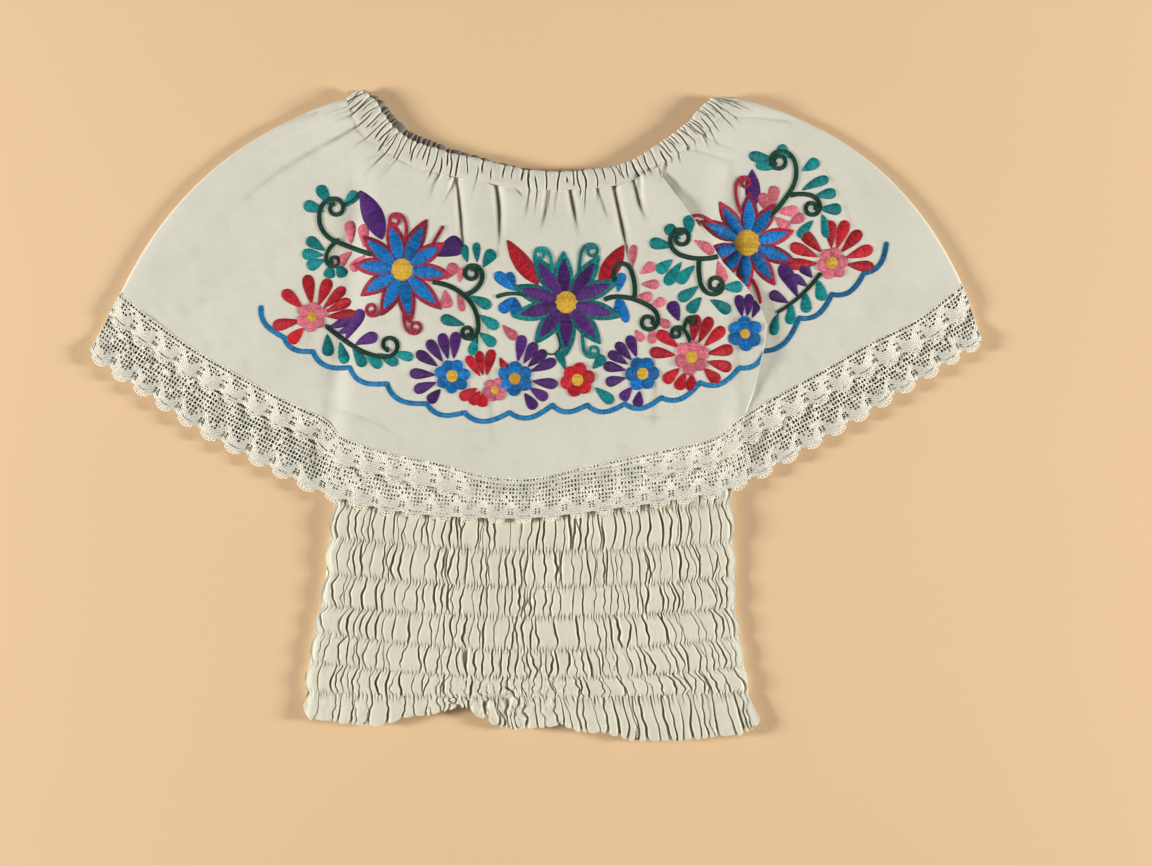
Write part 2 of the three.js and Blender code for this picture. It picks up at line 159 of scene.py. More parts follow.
def add_floor():
    bpy.ops.object.select_all(action="DESELECT")
    bpy.ops.mesh.primitive_plane_add(size=FLOOR_SIZE, location=(0, 0, FLOOR_Z))
    floor = bpy.context.object
    floor.name = "floor"
    paper = Finish("floor paper")
    clouds = paper.ramp(paper.noise(2.2, 3), FLOOR_COLOUR, (0, 1), (0.97, 1.03))
    paper.feed(paper.shader, {"Base Color": clouds, "Roughness": 0.9})
    floor.data.materials.append(paper.material)


add_floor()


# %% Lights
LIGHTS = [
    # name, x, y, z, size, power
    ("low left", -3.10, -0.15, 0.93, 0.62, 139.0),
    ("low right", 3.15, -0.10, 0.93, 0.62, 134.0),
    ("overhead", 0.05, 0.35, 2.0, 1.5, 4.8),
]
AMBIENT_COLOUR, AMBIENT = (1, 0.985, 0.96, 1), 0.118


def add_lights():
    for name, x, y, z, size, power in LIGHTS:
        turned = Vector((-x, -y, -z)).to_track_quat("-Z", "Y").to_euler()
        bpy.ops.object.select_all(action="DESELECT")
        bpy.ops.object.light_add(type="AREA", location=(x, y, z), rotation=turned)
        light = bpy.context.object
        light.name = name
        light.data.size = size
        light.data.energy = power
    world = bpy.data.worlds.new("studio")
    world.use_nodes = True
    sky = world.node_tree.nodes["Background"].inputs
    sky["Color"].default_value = AMBIENT_COLOUR
    sky["Strength"].default_value = AMBIENT
    scene.world = world
    print("lights:", len(LIGHTS), "and a pale world")


add_lights()


# %% [markdown]
# ## The garment's measures
# These are the maker's measures, in millimetres, +Y towards the neck. Stations run across the
# garment from left to right, and every piece of the flounce, casing and lace reads them, so
# neighbours always meet. The heights say how the layers are stacked over the floor.

# %% Measures
CLOTH, LACE, SEAM, CASING = 1.4, 1.2, 0.3, 5.0
FOLD_Z = CASING + SEAM / 2
SIDE_FOLD = ((0, 0.2, 0.4, 1), (FOLD_Z, 3.2, 2.4, 2.4))
WING_Z, CHEST_Z, SHIRRED_Z = 5.0, 10.6, 12.1
FRONT_INSIDE_Z, BACK_BODICE_Z, STEP_DOWN = 4.4, CLOTH + SEAM, 1.7
BACK_BODICE = 2.4
ROLL = 5.0

# The casing's free edge, the neck seam, the cloth hem, the lace's edge, the sideways bow of the
# cloth between seam and hem, and how far the back neckline stands above the front one.
TOP, NECK, HEMLINE, EDGE, BOW, BACK_RISE = slice(0, 2), slice(2, 4), slice(4, 6), slice(6, 8), 8, 9
STATIONS = np.array([
    [-144, 261, -153, 254, -335, 98, -360, 50, 27, 0],
    [-132, 252, -148, 238, -313, 80, -340, 34, 24, 4],
    [-123, 238, -137, 222, -278, 55, -306, 11, 19, 6.4],
    [-112, 226, -123, 210, -241, 33, -269, -14, 13, 6.4],
    [-99, 218, -105, 200, -204, 13, -230, -35, 8, 6.4],
    [-84, 213, -88, 195, -171, -3, -197, -52, 4, 5.6],
    [-67, 208, -69, 191, -154, -18, -168, -65, 1, 4],
    [-48, 204, -49, 188, -116, -30, -126, -76, 0, 3.0],
    [-27, 199, -28, 183, -78, -38, -84, -81, 0, 2.0],
    [-4, 195, -4, 180, -41, -48, -44, -83, 0, 1.6],
    [20, 194, 20, 180, -4, -50, -6, -83, 0, 1.3],
    [44, 196, 45, 181, 32, -42, 34, -79, 0, 1.1],
    [64, 199, 68, 185, 70, -34, 72, -74, 0, 0.8],
    [83, 207, 89, 194, 108, -26, 111, -69, 0, 0.2],
    [98, 217, 107, 205, 141, -18, 148, -62, -2, -0.8],
    [112, 227, 122, 216, 162, -2, 176, -50, -5, -1.6],
    [124, 237, 134, 226, 190, 15, 212, -29, -10, -1.6],
    [132, 246, 144, 235, 228, 36, 252, -6, -16, -1.6],
    [139, 252, 152, 242, 266, 58, 291, 18, -22, -1.6],
    [143, 254, 157, 248, 304, 77, 328, 41, -26, -0.8],
    [148, 255, 160, 254, 341, 105, 357, 59, -29, 0],
], float)

# Rows of the bodice, neck to hem: its sides, and its height at the left, the middle and the right.
ARM_ROWS = np.array([
    [-130, 134, 165, 152, 165],
    [-134, 136, 90, 80, 90],
    [-148, 144, 18, 12, 18],
], float)
SHIRRED_ROWS = np.array([
    [-158, 151, -42, -48, -42],
    [-161, 154, -72, -78, -72],
    [-165, 155, -98, -109, -102],
    [-168, 156, -127, -138, -130],
    [-172, 156, -153, -162, -155],
    [-177, 160, -174, -189, -178],
    [-181, 164, -198, -211, -202],
    [-185, 168, -222, -227, -222],
], float)
HEM = np.array([
    [-188, -236], [-182, -243], [-158, -246], [-126, -247], [-110, -242], [-86, -239], [-70, -234],
    [-62, -230], [-50, -237], [-30, -250], [-6, -250], [18, -247], [34, -253], [52, -253], [82, -261],
    [106, -260], [130, -258], [162, -255], [172, -252], [179, -243],
], float)
BACK_HEM_Y = -226
SIDE_PUFF = 3.5


# %% Reading the measures
def ease(start, end, v):
    """0 before start, 1 after end, and a smooth step between them. It may also run downwards."""
    share = np.clip((v - start) / (end - start), 0, 1)
    return share * share * (3 - 2 * share)


def mix(a, b, share):
    return a + (b - a) * share


def along(table, place):
    """A table's columns at places 0 to 1, on a smooth curve through its rows."""
    last = len(table) - 1
    at = np.clip(place, 0, 1) * last
    row = np.minimum(at.astype(int), last - 1)
    f = (at - row)[..., None]
    longer = np.vstack([2 * table[0] - table[1], table, 2 * table[-1] - table[-2]])
    a, b, c, d = (longer[row + k] for k in range(4))
    return b + 0.5 * f * (c - a + f * (2 * a - 5 * b + 4 * c - d + f * (3 * (b - c) + d - a)))


def unit(v):
    return v / np.maximum(np.linalg.norm(v, axis=-1, keepdims=True), 1e-9)


def neck_point(s, share, back=False):
    """A point between the neck seam, share 0, and the casing's free edge, share 1."""
    row = along(STATIONS, s)
    seam, top = row[..., NECK], row[..., TOP]
    height = np.linalg.norm(top - seam, axis=-1)
    rise = row[..., BACK_RISE] / height if back else 0
    return mix(seam, top, (share + rise)[..., None])


def flounce_point(s, t, back=False):
    """A point of the flounce: s from left to right, t from the neck seam to the hem."""
    row = along(STATIONS, s)
    seam = neck_point(s, np.zeros_like(s), back)
    down = row[..., HEMLINE] - seam
    square = np.stack([down[..., 1], -down[..., 0]], axis=-1)
    bow = row[..., BOW] * 4 * t * (1 - t) / np.linalg.norm(down, axis=-1)
    return mix(seam, row[..., HEMLINE], t[..., None]) + square * bow[..., None]


BODY_SIDES = np.vstack([ARM_ROWS, SHIRRED_ROWS])


def over_body(x, y):
    """1 where the flounce lies on the bodice, 0 on the wings beside it."""
    left = np.interp(-y, -BODY_SIDES[:, 2], BODY_SIDES[:, 0])
    right = np.interp(-y, -BODY_SIDES[:, 4], BODY_SIDES[:, 1])
    return ease(-22, 4, np.minimum(x - left, right - x))


def waves(x, y, length, seed, count=7):
    """Smooth unevenness from -1 to 1 whose bumps are about this many millimetres long."""
    rng = np.random.default_rng(seed)
    total = np.zeros(np.broadcast(x, y).shape)
    for turn, stretch, phase in rng.uniform((0, 0.7, 0), (math.pi, 1.5, math.tau), (count, 3)):
        across = x * math.cos(turn) + y * math.sin(turn)
        total += np.sin(across * math.tau / (length * stretch) + phase)
    return total / math.sqrt(count) / 1.6


print("neckline:", np.round(neck_point(np.array([0.0, 0.5, 1.0]), np.ones(3)), 1).tolist())

# %% [markdown]
# ## A cloth shell
# Cloth is a wall: an outer face that carries every crease, a plain inner face, and a rim that
# joins them. Solidify would double all the fine faces, so the wall is made here from two grids.
# The outer grid is fine. The inner one keeps only every few columns and rows, each set as low as
# the lowest crease round it, so that it never shows through.

# %% Shell helpers
def widened(z, axis, span):
    """The grid with its border values repeated outwards along one axis."""
    return np.pad(z, [(span, span) if a == axis else (0, 0) for a in (0, 1)], mode="edge")


def lowest_around(z, span):
    """Each value's minimum over a window of the grid."""
    for axis in (0, 1):
        wide, count = widened(z, axis, span), z.shape[axis]
        z = np.minimum.reduce([np.take(wide, range(k, k + count), axis=axis) for k in range(2 * span + 1)])
    return z


def blurred(z, span, axes=(0, 1)):
    """The grid smoothed over a few neighbours each way."""
    for axis in axes:
        total = np.cumsum(np.insert(widened(z, axis, span), 0, 0, axis=axis), axis=axis)
        count, width = z.shape[axis], 2 * span + 1
        ahead, behind = (np.take(total, range(k, k + count), axis=axis) for k in (width, 0))
        z = (ahead - behind) / width
    return z


def kept(count, step):
    """Every few numbers below count, and the last one."""
    return [*range(0, count - 1, step), count - 1]


def quads(at):
    """Four-sided faces over a grid of point numbers."""
    return np.stack([at[:-1, :-1], at[:-1, 1:], at[1:, 1:], at[1:, :-1]], axis=-1).reshape(-1, 4)


# %% Mesh of a shell
def shell_mesh(outer, inner, columns, rows):
    """Points and faces of a wall between a fine outer grid and the kept points of an inner one."""
    across, down = outer.shape[:2]
    at = np.arange(across * down).reshape(across, down)
    under = at[-1, -1] + 1 + np.arange(len(columns) * len(rows)).reshape(len(columns), len(rows))
    points = np.vstack([outer.reshape(-1, 3), inner[np.ix_(columns, rows)].reshape(-1, 3)])
    faces = quads(at).tolist() + quads(under)[:, [0, 3, 2, 1]].tolist()
    for k, (r0, r1) in enumerate(zip(rows, rows[1:])):
        faces.append(at[0, r0:r1 + 1][::-1].tolist() + [under[0, k], under[0, k + 1]])
        faces.append(at[-1, r0:r1 + 1].tolist() + [under[-1, k + 1], under[-1, k]])
    for k, (c0, c1) in enumerate(zip(columns, columns[1:])):
        faces.append(at[c0:c1 + 1, 0].tolist() + [under[k + 1, 0], under[k, 0]])
        faces.append(at[c0:c1 + 1, -1][::-1].tolist() + [under[k, -1], under[k + 1, -1]])
    return points, faces


# %% A new piece and what its material reads
def new_piece(name, points, faces, material, flat_over=40):
    """A mesh object from millimetre points, smooth except over sharp edges, riding on the garment."""
    mesh = bpy.data.meshes.new(name)
    mesh.from_pydata((np.asarray(points) * MM).tolist(), [], faces)
    mesh.update()
    piece = bpy.data.objects.new(name, mesh)
    scene.collection.objects.link(piece)
    mesh.materials.append(material)
    bpy.ops.object.select_all(action="DESELECT")
    piece.select_set(True)
    bpy.context.view_layer.objects.active = piece
    bpy.ops.object.shade_smooth_by_angle(angle=math.radians(flat_over))
    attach(piece, "root")
    mesh.calc_loop_triangles()
    print(f"{name}: {len(mesh.vertices)} points, {len(mesh.loop_triangles)} triangles")
    return piece


def store(piece, name, values):
    """A number at each point, for the material."""
    values = np.asarray(values, np.float32)
    piece.data.attributes.new(name, "FLOAT", "POINT").data.foreach_set("value", values)


def store_thread(piece, uv):
    """Where each point lies across and along its thread."""
    layer = piece.data.uv_layers.new(name="thread")
    corners = np.zeros(len(piece.data.loops), np.int32)
    piece.data.loops.foreach_get("vertex_index", corners)
    layer.data.foreach_set("uv", uv[corners].ravel())


def mark_crease_shade(piece, outer, span, depth, ways=(((0, 1), 1.0),)):
    """Stores how deep each point lies in a crease, 0 to 1, for the material to darken with painted shade.
    """
    z = outer[..., 2]
    hollow = np.zeros_like(z)
    for axes, strength in ways:
        sunk = np.clip((blurred(z, span, axes) - z) / depth, 0, 1) ** 1.2
        hollow = np.maximum(hollow, strength * sunk)
    values = np.zeros(len(piece.data.vertices))
    values[:hollow.size] = hollow.ravel()
    store(piece, "crease", values)


# %% [markdown]
# ## Cloth and thread finishes
# The flounce is a thick plain-weave cotton in its natural colour. Two crossed wave textures on the
# object's own coordinates make the weave, noise breaks it up into slubs, and slow noise varies the
# tone. Painted shade darkens the cloth in its creases. Sheen is the soft bloom of loose fibres, set
# on the shader's own socket.

# %% Cotton
COTTON_ROUGH, ROUGH_SPREAD = 0.9, 0.06
WOBBLE = (0.0011, 0.0011, 0.0)      # how far the threads wander, in metres


def cotton(name, colour, deep, crease_shade_amount, pitch=0.0008, weave=0.4):
    """Plain weave, with painted shade in the bottoms of its creases."""
    cloth = Finish(name)
    # The threads wander a little, and thick and thin places break up the weave.
    wander = {0: cloth.noise(160, output="Color"), 1: WOBBLE, 2: cloth.where}
    shift = cloth.add("VectorMath", wander, operation="MULTIPLY_ADD").outputs[0]
    warp, weft = (cloth.stripes(way, shift, pitch, 0.6) for way in "XY")
    slub = cloth.noise(900, 3, 0.7)
    cloth.bump(weave, 0.00025, cloth.math("MULTIPLY_ADD", slub, 1.1, cloth.math("ADD", warp, weft)))
    # The tone varies slowly, with small specks, and painted shade darkens it in the creases.
    cloud = cloth.math("MULTIPLY_ADD", cloth.noise(420), 0.5, cloth.noise(14, 4, 0.6))
    plain = cloth.ramp(cloud, colour, (0.45, 1.0), (0.93, 1.05))
    cloth.shade(plain, deep, cloth.math("MULTIPLY", cloth.attribute("crease"), crease_shade_amount))
    rough = cloth.remap(slub, 0, 1, COTTON_ROUGH - ROUGH_SPREAD, COTTON_ROUGH + ROUGH_SPREAD)
    cloth.feed(cloth.shader, {
        "Roughness": rough, "Sheen Weight": 0.12, "Sheen Roughness": 0.5, "Specular IOR Level": 0.25,
    })
    return cloth.material


# The second colour of each is the painted shade in its creases.
FLOUNCE_CLOTH = cotton("flounce cotton", (0.745, 0.715, 0.595), (0.20, 0.165, 0.085), 0.9)
CASING_CLOTH = cotton("casing cotton", (0.72, 0.687, 0.567), (0.090, 0.072, 0.036), 0.95)
# This cotton's own colour is painted shadow: the neck's shadow on the back casing's upper face.
SHADOWED_CASING_CLOTH = cotton("casing cotton in painted shadow", (0.235, 0.205, 0.165), (0.022, 0.017, 0.012), 0.95)
SHIRRED_CLOTH = cotton("shirred cotton", (0.780, 0.742, 0.580), (0.165, 0.132, 0.058), 0.84, 0.0006, 0.35)


# %% Lace thread
REPEAT, RIB_PITCH = 21.6, 1.5       # one repeat along the lace, and from one ring of thread to the next
# The second colour is the painted shade inside the holes, and the marks below say where it starts.
LACE_COLOUR, HOLE_SHADE_COLOUR = (0.93, 0.88, 0.73), (0.030, 0.026, 0.018)
HOLE_SHADE_MARKS = (0.52, 0.62)            # crease marks from which the inside of a hole turns dark


def lace_thread(name, fan_at):
    """Soft cotton thread, ribbed in rings round the middle of every fan, with painted shade between the
    rings and inside the holes.
    """
    thread = Finish(name)
    # How far each point is from the middle of its repeat's fan makes the rings.
    place = thread.add("SeparateXYZ", {"Vector": thread.thread_uv()})
    across = thread.math("SUBTRACT", thread.math("FRACT", place.outputs["X"]), 0.5)
    down = thread.math("SUBTRACT", place.outputs["Y"], fan_at / REPEAT)
    offset = thread.add("CombineXYZ", {"X": across, "Y": down}).outputs[0]
    far = thread.add("VectorMath", {0: offset}, operation="LENGTH").outputs["Value"]
    rings = thread.math("SINE", thread.math("MULTIPLY", far, math.tau * REPEAT / RIB_PITCH))
    twist = thread.noise(1300)
    thread.bump(0.8, 0.0003, thread.math("MULTIPLY_ADD", twist, 1.6, rings))
    # The rings also darken the colour between the ribs, which is painted shade. The twist is the thread's
    # random tone.
    cloud = thread.math("MULTIPLY_ADD", rings, 0.26, twist)
    plain = thread.ramp(cloud, LACE_COLOUR, (0.18, 0.52), (0.60, 1.06))
    thread.shade(plain, HOLE_SHADE_COLOUR, thread.remap(thread.attribute("crease"), *HOLE_SHADE_MARKS, 0, 1))
    rough = thread.remap(twist, 0, 1, 0.82, 0.96)
    thread.feed(thread.shader, {"Roughness": rough, "Sheen Weight": 0.1, "Specular IOR Level": 0.25})
    return thread.material


EDGING_THREAD = lace_thread("edging thread", 6.0)
NET_THREAD = lace_thread("net thread", 17.0)

# %% [markdown]
# ## The flounce
# The flounce is one deep ruffle, front and back, sewn into the neck casing. Its soft folds fan out
# from the gathers and from the shoulders. Each is a curve with a width and a depth, and the cloth
# dips along it like a trough pressed by a finger. On the right the cloth has slid over itself in a
# tuck, so the columns of the grid crowd together there and lean into a small overhang.

# %% Soft folds of the flounce
# Start, middle and end of each fold, its width and its height; below zero it is a trough.
FOLDS = [
    ((-144, 255), (-166, 252), (-190, 246), 4, -1.5),
    ((-152, 246), (-180, 243), (-214, 232), 4, -1.5),
    ((-132, 242), (-145, 240), (-158, 234), 3.5, -1.4),
    ((-118, 234), (-190, 222), (-262, 148), 13, -2.3),
    ((-138, 246), (-206, 232), (-268, 176), 12, 2.0),
    ((-112, 214), (-176, 204), (-236, 130), 15, 1.7),
    ((-112, 218), (-126, 206), (-140, 204), 4, -2.0),
    ((-80, 199), (-83, 184), (-88, 166), 7, -2.2),
    ((-65, 191), (-61, 160), (-58, 106), 6, -4.0),
    ((-34, 186), (-28, 166), (-32, 118), 6, -4.4),
    ((-20, 184), (-16, 178), (-8, 172), 4, -2.6),
    ((-18, 182), (-14, 160), (-16, 140), 9, 1.6),
    ((10, 180), (8, 164), (0, 140), 6, -2.6),
    ((26, 180), (28, 168), (34, 138), 6, -4.2),
    ((48, 182), (52, 168), (60, 146), 5, -2.4),
    ((61, 184), (66, 158), (78, 104), 6, -4.4),
    ((77, 188), (80, 174), (88, 150), 5, -3.8),
    ((98, 194), (106, 182), (116, 168), 5, -2.6),
    ((122, 234), (136, 217), (168, 209), 5, -1.6),
    ((116, 214), (138, 208), (162, 200), 5, -1.4),
    ((158, 238), (192, 239), (228, 230), 4, -1.5),
    ((-40, 70), (-38, 10), (-34, -40), 14, -1.9),
    ((-160, 4), (-120, -6), (-84, -34), 12, -1.2),
    ((90, 60), (96, 10), (92, -24), 16, -1.8),
    ((60, 6), (90, -6), (128, 0), 13, -1.2),
    ((-150, 150), (-185, 90), (-190, 20), 20, -1.6),
    ((232, 196), (262, 150), (268, 74), 22, -1.6),
]
TUCK = np.array([
    [98, 190], [117, 164], [130, 146], [146, 122], [164, 104], [176, 88], [182, 72], [180, 56],
    [172, 20], [158, -20],
], float)
TUCK_HEIGHT, TUCK_LIP, TUCK_LEAN, TUCK_REACH = 4.2, 2.6, 1.7, 30.0
TUCK_TOP, TUCK_BOTTOM = TUCK[0, 1], TUCK[-1, 1]
CORE_WIDTH, CORE_SHARE = 0.28, 0.45     # the sharp core in the middle of each soft trough


def fold_height(fold, x, y):
    """What one fold adds to the cloth at places x, y."""
    start, middle, end, width, height = fold
    f = np.linspace(0, 1, 25)[:, None]
    line = (1 - f) ** 2 * np.array(start) + 2 * f * (1 - f) * np.array(middle) + f * f * np.array(end)
    low, high = line.min(0) - 3 * width, line.max(0) + 3 * width
    near = (x > low[0]) & (x < high[0]) & (y > low[1]) & (y < high[1])
    z = np.zeros(x.shape)
    if not near.any():
        return z
    p = np.stack([x[near], y[near]], axis=-1)
    nearest = np.full(len(p), 1e9)
    place = np.zeros(len(p))
    for k in range(len(line) - 1):
        step = line[k + 1] - line[k]
        share = np.clip(((p - line[k]) @ step) / (step @ step), 0, 1)
        away = np.linalg.norm(p - line[k] - share[:, None] * step, axis=-1)
        closer = away < nearest
        nearest[closer] = away[closer]
        place[closer] = (k + share[closer]) / (len(line) - 1)
    soft = np.exp(-((nearest / width) ** 2))
    core = np.exp(-nearest / (CORE_WIDTH * width))
    z[near] = height * (1 - ease(0.45, 1, place)) * mix(soft, core, CORE_SHARE)
    return z


def tuck_line(y):
    return np.interp(-y, -TUCK[:, 1], TUCK[:, 0])


def tuck_strength(y):
    return ease(TUCK_TOP + TUCK_REACH, TUCK_TOP - 10, y) * ease(TUCK_BOTTOM, 60, y)


def tuck_height(x, y):
    away = x - tuck_line(y)
    rise = np.exp(-((np.minimum(away, 0) / TUCK_REACH) ** 2))
    return TUCK_HEIGHT * tuck_strength(y) * np.where(away < 0, rise, 1 - ease(0, TUCK_LIP, away))


# %% Creases drawn in by the neck elastic
def crease_lines(seed, near, far):
    """Creases across the casing. Some run on below the seam into the flounce."""
    rng = np.random.default_rng(seed)
    lines = []
    place = 0.0
    while place < 1.0:
        shoulder = abs(2 * place - 1) ** 2
        place += rng.uniform(near, far) * mix(1.2, 0.6, shoulder)
        lines.append({
            "place": place, "lean": rng.uniform(-0.006, 0.006), "bent": rng.uniform(-0.004, 0.004),
            "width": rng.uniform(0.7, 1.5), "depth": rng.uniform(0.45, 1.0),
            "top": rng.choice([1.0, 1.0, 1.0, 0.7]), "low": rng.choice([0.0, 0.0, 0.25, 0.45]),
            "below": rng.choice([0.02, 0.05, 0.09, 0.15]),
        })
    return lines


NECK_CREASES = crease_lines(31, 0.005, 0.019)
GATHER_DEPTH, GATHER_WIDTH = 2.1, 0.0024


def neck_gathers(s, t):
    """The creases below the seam: each fades and spreads as it runs down."""
    z = np.zeros(s.shape)
    for line in NECK_CREASES:
        if line["low"] == 0:
            width = GATHER_WIDTH * line["width"] * (1 + 7 * t)
            away = np.abs(s - line["place"] - line["lean"] * (-0.5 - 4 * t)) / width
            fade = ease(line["below"], 0.0, t)
            z = np.minimum(z, -GATHER_DEPTH * line["depth"] * np.exp(-away ** 1.3) * fade)
    return z


def flounce_relief(x, y, s, t):
    """Small unevenness of the front cloth: gathers, slow waves and a few fine creases."""
    calm = ease(0.0, 0.25, t)
    z = neck_gathers(s, t)
    z += 0.62 * waves(x, y, 95, 5) * calm
    z += 0.30 * waves(x, y, 38, 6) * calm
    return z + 0.10 * waves(x, y, 13, 7, 12)


def flounce_top(x, y, t):
    """Height of the front cloth: over the wings or the bodice, with its folds."""
    body = mix(CHEST_Z, SHIRRED_Z, ease(20, -20, y))
    z = mix(WING_Z, body, over_body(x, y))
    z = mix(CHEST_Z - 0.4, z, ease(0, 0.2, t)) - 0.5 * ease(0.02, 0, t)
    for fold in FOLDS:
        z = z + fold_height(fold, x, y)
    return z


# %% Columns of the flounce
SIDE_TURNS = np.radians([0, 12, 25, 40, 56, 72])
SIDE_S = 0.02
TUCK_CROWD = (0.014, 0.8)           # how wide and how strongly the columns crowd at the tuck


def crowd(u, centre, width, amount):
    """Moves evenly spaced numbers so that they crowd round a centre; 0 and 1 stay."""
    lost = amount * width
    middle = centre * (1 - 2 * lost) + lost

    def grown(v):
        return v - lost * (np.tanh((v - middle) / width) + np.tanh(middle / width))

    return grown(u) / grown(np.ones_like(u))


def tuck_place(t):
    """The station at which the tuck crosses a row of the flounce."""
    s = np.linspace(0.5, 0.98, 400)
    found = []
    for row in t:
        p = flounce_point(s, np.full_like(s, row))
        found.append(s[np.argmax(p[:, 0] - tuck_line(p[:, 1]) > 0)])
    return np.array(found)


def flounce_plan(columns, t, back):
    """Plan places of every column and row, the way in from the side folds, their turn, and s."""
    u = np.linspace(0, 1, columns + 1)[:, None] * np.ones(len(t))
    if not back:
        at = (blurred(tuck_place(t)[:, None], 3)[:, 0] - SIDE_S) / (1 - 2 * SIDE_S)
        u = crowd(u, at[None, :], *TUCK_CROWD)
    middle = mix(SIDE_S, 1 - SIDE_S, u)
    rows = np.ones_like(u[:1]) * t
    place = flounce_point(middle, np.ones_like(middle) * t, back)
    sides = []
    for s, inner in ((0.0, SIDE_S), (1.0, 1 - SIDE_S)):
        edge = flounce_point(np.full_like(rows, s), rows, back)
        inward = unit(flounce_point(np.full_like(rows, inner), rows, back) - edge)
        turned = edge + inward * ROLL * (1 - np.cos(SIDE_TURNS))[:, None, None]
        sides.append((turned, inward * np.ones((len(SIDE_TURNS), 1, 1))))
    (left, left_in), (right, right_in) = sides
    xy = np.concatenate([left, place, right[::-1]])
    inward = np.concatenate([left_in, np.zeros_like(place), right_in[::-1]])
    ones = np.ones((columns + 1, len(t)))
    rolls = SIDE_TURNS[:, None] * np.ones(len(t))
    turn = np.concatenate([rolls, ones * math.pi / 2, rolls[::-1]])
    s = np.concatenate([np.zeros_like(rolls), middle, np.ones_like(rolls)])
    return xy, inward, turn, s


# %% Side folds of the flounce
def side_columns(columns, step):
    """The kept columns of a flounce: every one of its two side folds, and every few between."""
    side = len(SIDE_TURNS)
    between = [side + c for c in kept(columns + 1, step)]
    return [*range(side), *between, *range(side + columns + 1, 2 * side + columns + 1)]


def inner_wall(x, y, z, inward, turn):
    """The points one thickness of cloth inside the outer wall, where it rolls at the sides."""
    rolled = inward * (np.cos(turn) * CLOTH)[..., None]
    return np.stack([x + rolled[..., 0], y + rolled[..., 1], z], axis=-1)


# %% Front of the flounce
FRONT_COLUMNS, FRONT_ROWS = 372, 188


def flounce_front():
    t = np.linspace(0, 1, FRONT_ROWS + 1) ** 1.2
    xy, inward, turn, s = flounce_plan(FRONT_COLUMNS, t, False)
    rows = np.ones_like(s) * t
    x, y = xy[..., 0], xy[..., 1]
    relief = flounce_relief(x, y, s, rows) * ease(0, 0.03, np.minimum(s, 1 - s))
    top = flounce_top(x, y, rows) + relief + tuck_height(x, y)
    # The tuck's lip leans over the cloth beside it.
    away = (x - tuck_line(y)) / TUCK_LIP
    lean = np.cos(math.pi * np.clip(away, 0, 1)) * ease(-1.4, 0, away) * ease(2.6, 1, away)
    x = x + TUCK_LEAN * lean * tuck_strength(y)
    low = np.interp(rows, *SIDE_FOLD) + SEAM / 2
    sine = np.sin(turn)
    outer = np.stack([x, y, mix(low, top, sine)], axis=-1)
    # The inner wall follows the side folds, and between them lies below every crease.
    calm = lowest_around(outer[..., 2], 6) - CLOTH
    under = np.where(turn > 1.5, calm, outer[..., 2] - sine * CLOTH)
    inner = inner_wall(x, y, under, inward, turn)
    points, faces = shell_mesh(outer, inner, side_columns(FRONT_COLUMNS, 6), kept(FRONT_ROWS + 1, 6))
    piece = new_piece("flounce_front_cloth", points, faces, FLOUNCE_CLOTH)
    mark_crease_shade(piece, outer, 4, 1.5)
    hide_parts("flounce_front")
    return piece, outer


FLOUNCE_FRONT, FRONT_GRID = flounce_front()


# %% Back of the flounce
BACK_COLUMNS, BACK_ROWS = 110, 60


def flounce_back():
    t = np.linspace(0, 0.995, BACK_ROWS + 1)
    xy, inward, turn, s = flounce_plan(BACK_COLUMNS, t, True)
    high = np.interp(np.ones_like(s) * t, *SIDE_FOLD) - SEAM / 2
    sine = np.sin(turn)
    x, y = xy[..., 0], xy[..., 1]
    press = 0.35 * (1 + waves(x, y, 44, 21, 9)) * sine
    under = np.stack([x, y, high * (1 - sine) + press], axis=-1)
    over = inner_wall(x, y, under[..., 2] + sine * (CLOTH - press), inward, turn)
    # The fine face is the lower one here, so both grids are turned over.
    columns, rows = side_columns(BACK_COLUMNS, 5), kept(BACK_ROWS + 1, 5)
    points, faces = shell_mesh(under[::-1], over[::-1], columns, rows)
    piece = new_piece("flounce_back_cloth", points, faces, FLOUNCE_CLOTH)
    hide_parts("flounce_back")
    return piece


FLOUNCE_BACK = flounce_back()

# %% [markdown]
# ## The neck casing
# Elastic inside the casing draws its cloth into sharp little creases. Each crease is a cusp: steep
# sided, narrow and deepest in the middle. The free edge bulges out between two creases and is
# pulled in at each one.

# %% Casings
CASING_ROWS = 20


def casing_section(q):
    """Height of the casing over its base from the seam, q 0, to the free edge, q 1."""
    full = np.clip(1 - q ** 3.4, 0, 1) ** 0.5
    groove = 0.12 * np.exp(-((q - 0.03) / 0.07) ** 2)
    return mix(0.36, 0.98, full) - groove


def gathers(s, q, lines, depth, width):
    """Creases across the casing: the depth of the deepest one at each point, 0 and up."""
    deepest = np.zeros(s.shape)
    for line in lines:
        at = line["place"] + line["lean"] * (q - 0.5) + line["bent"] * np.sin(q * math.pi)
        away = np.abs(s - at) / (width * line["width"])
        low, top = line["low"], line["top"]
        reach = ease(low - 0.12, low + 0.15, q) * ease(top + 0.12, top - 0.15, q)
        deepest = np.maximum(deepest, depth * line["depth"] * np.exp(-away ** 1.15) * reach)
    return deepest


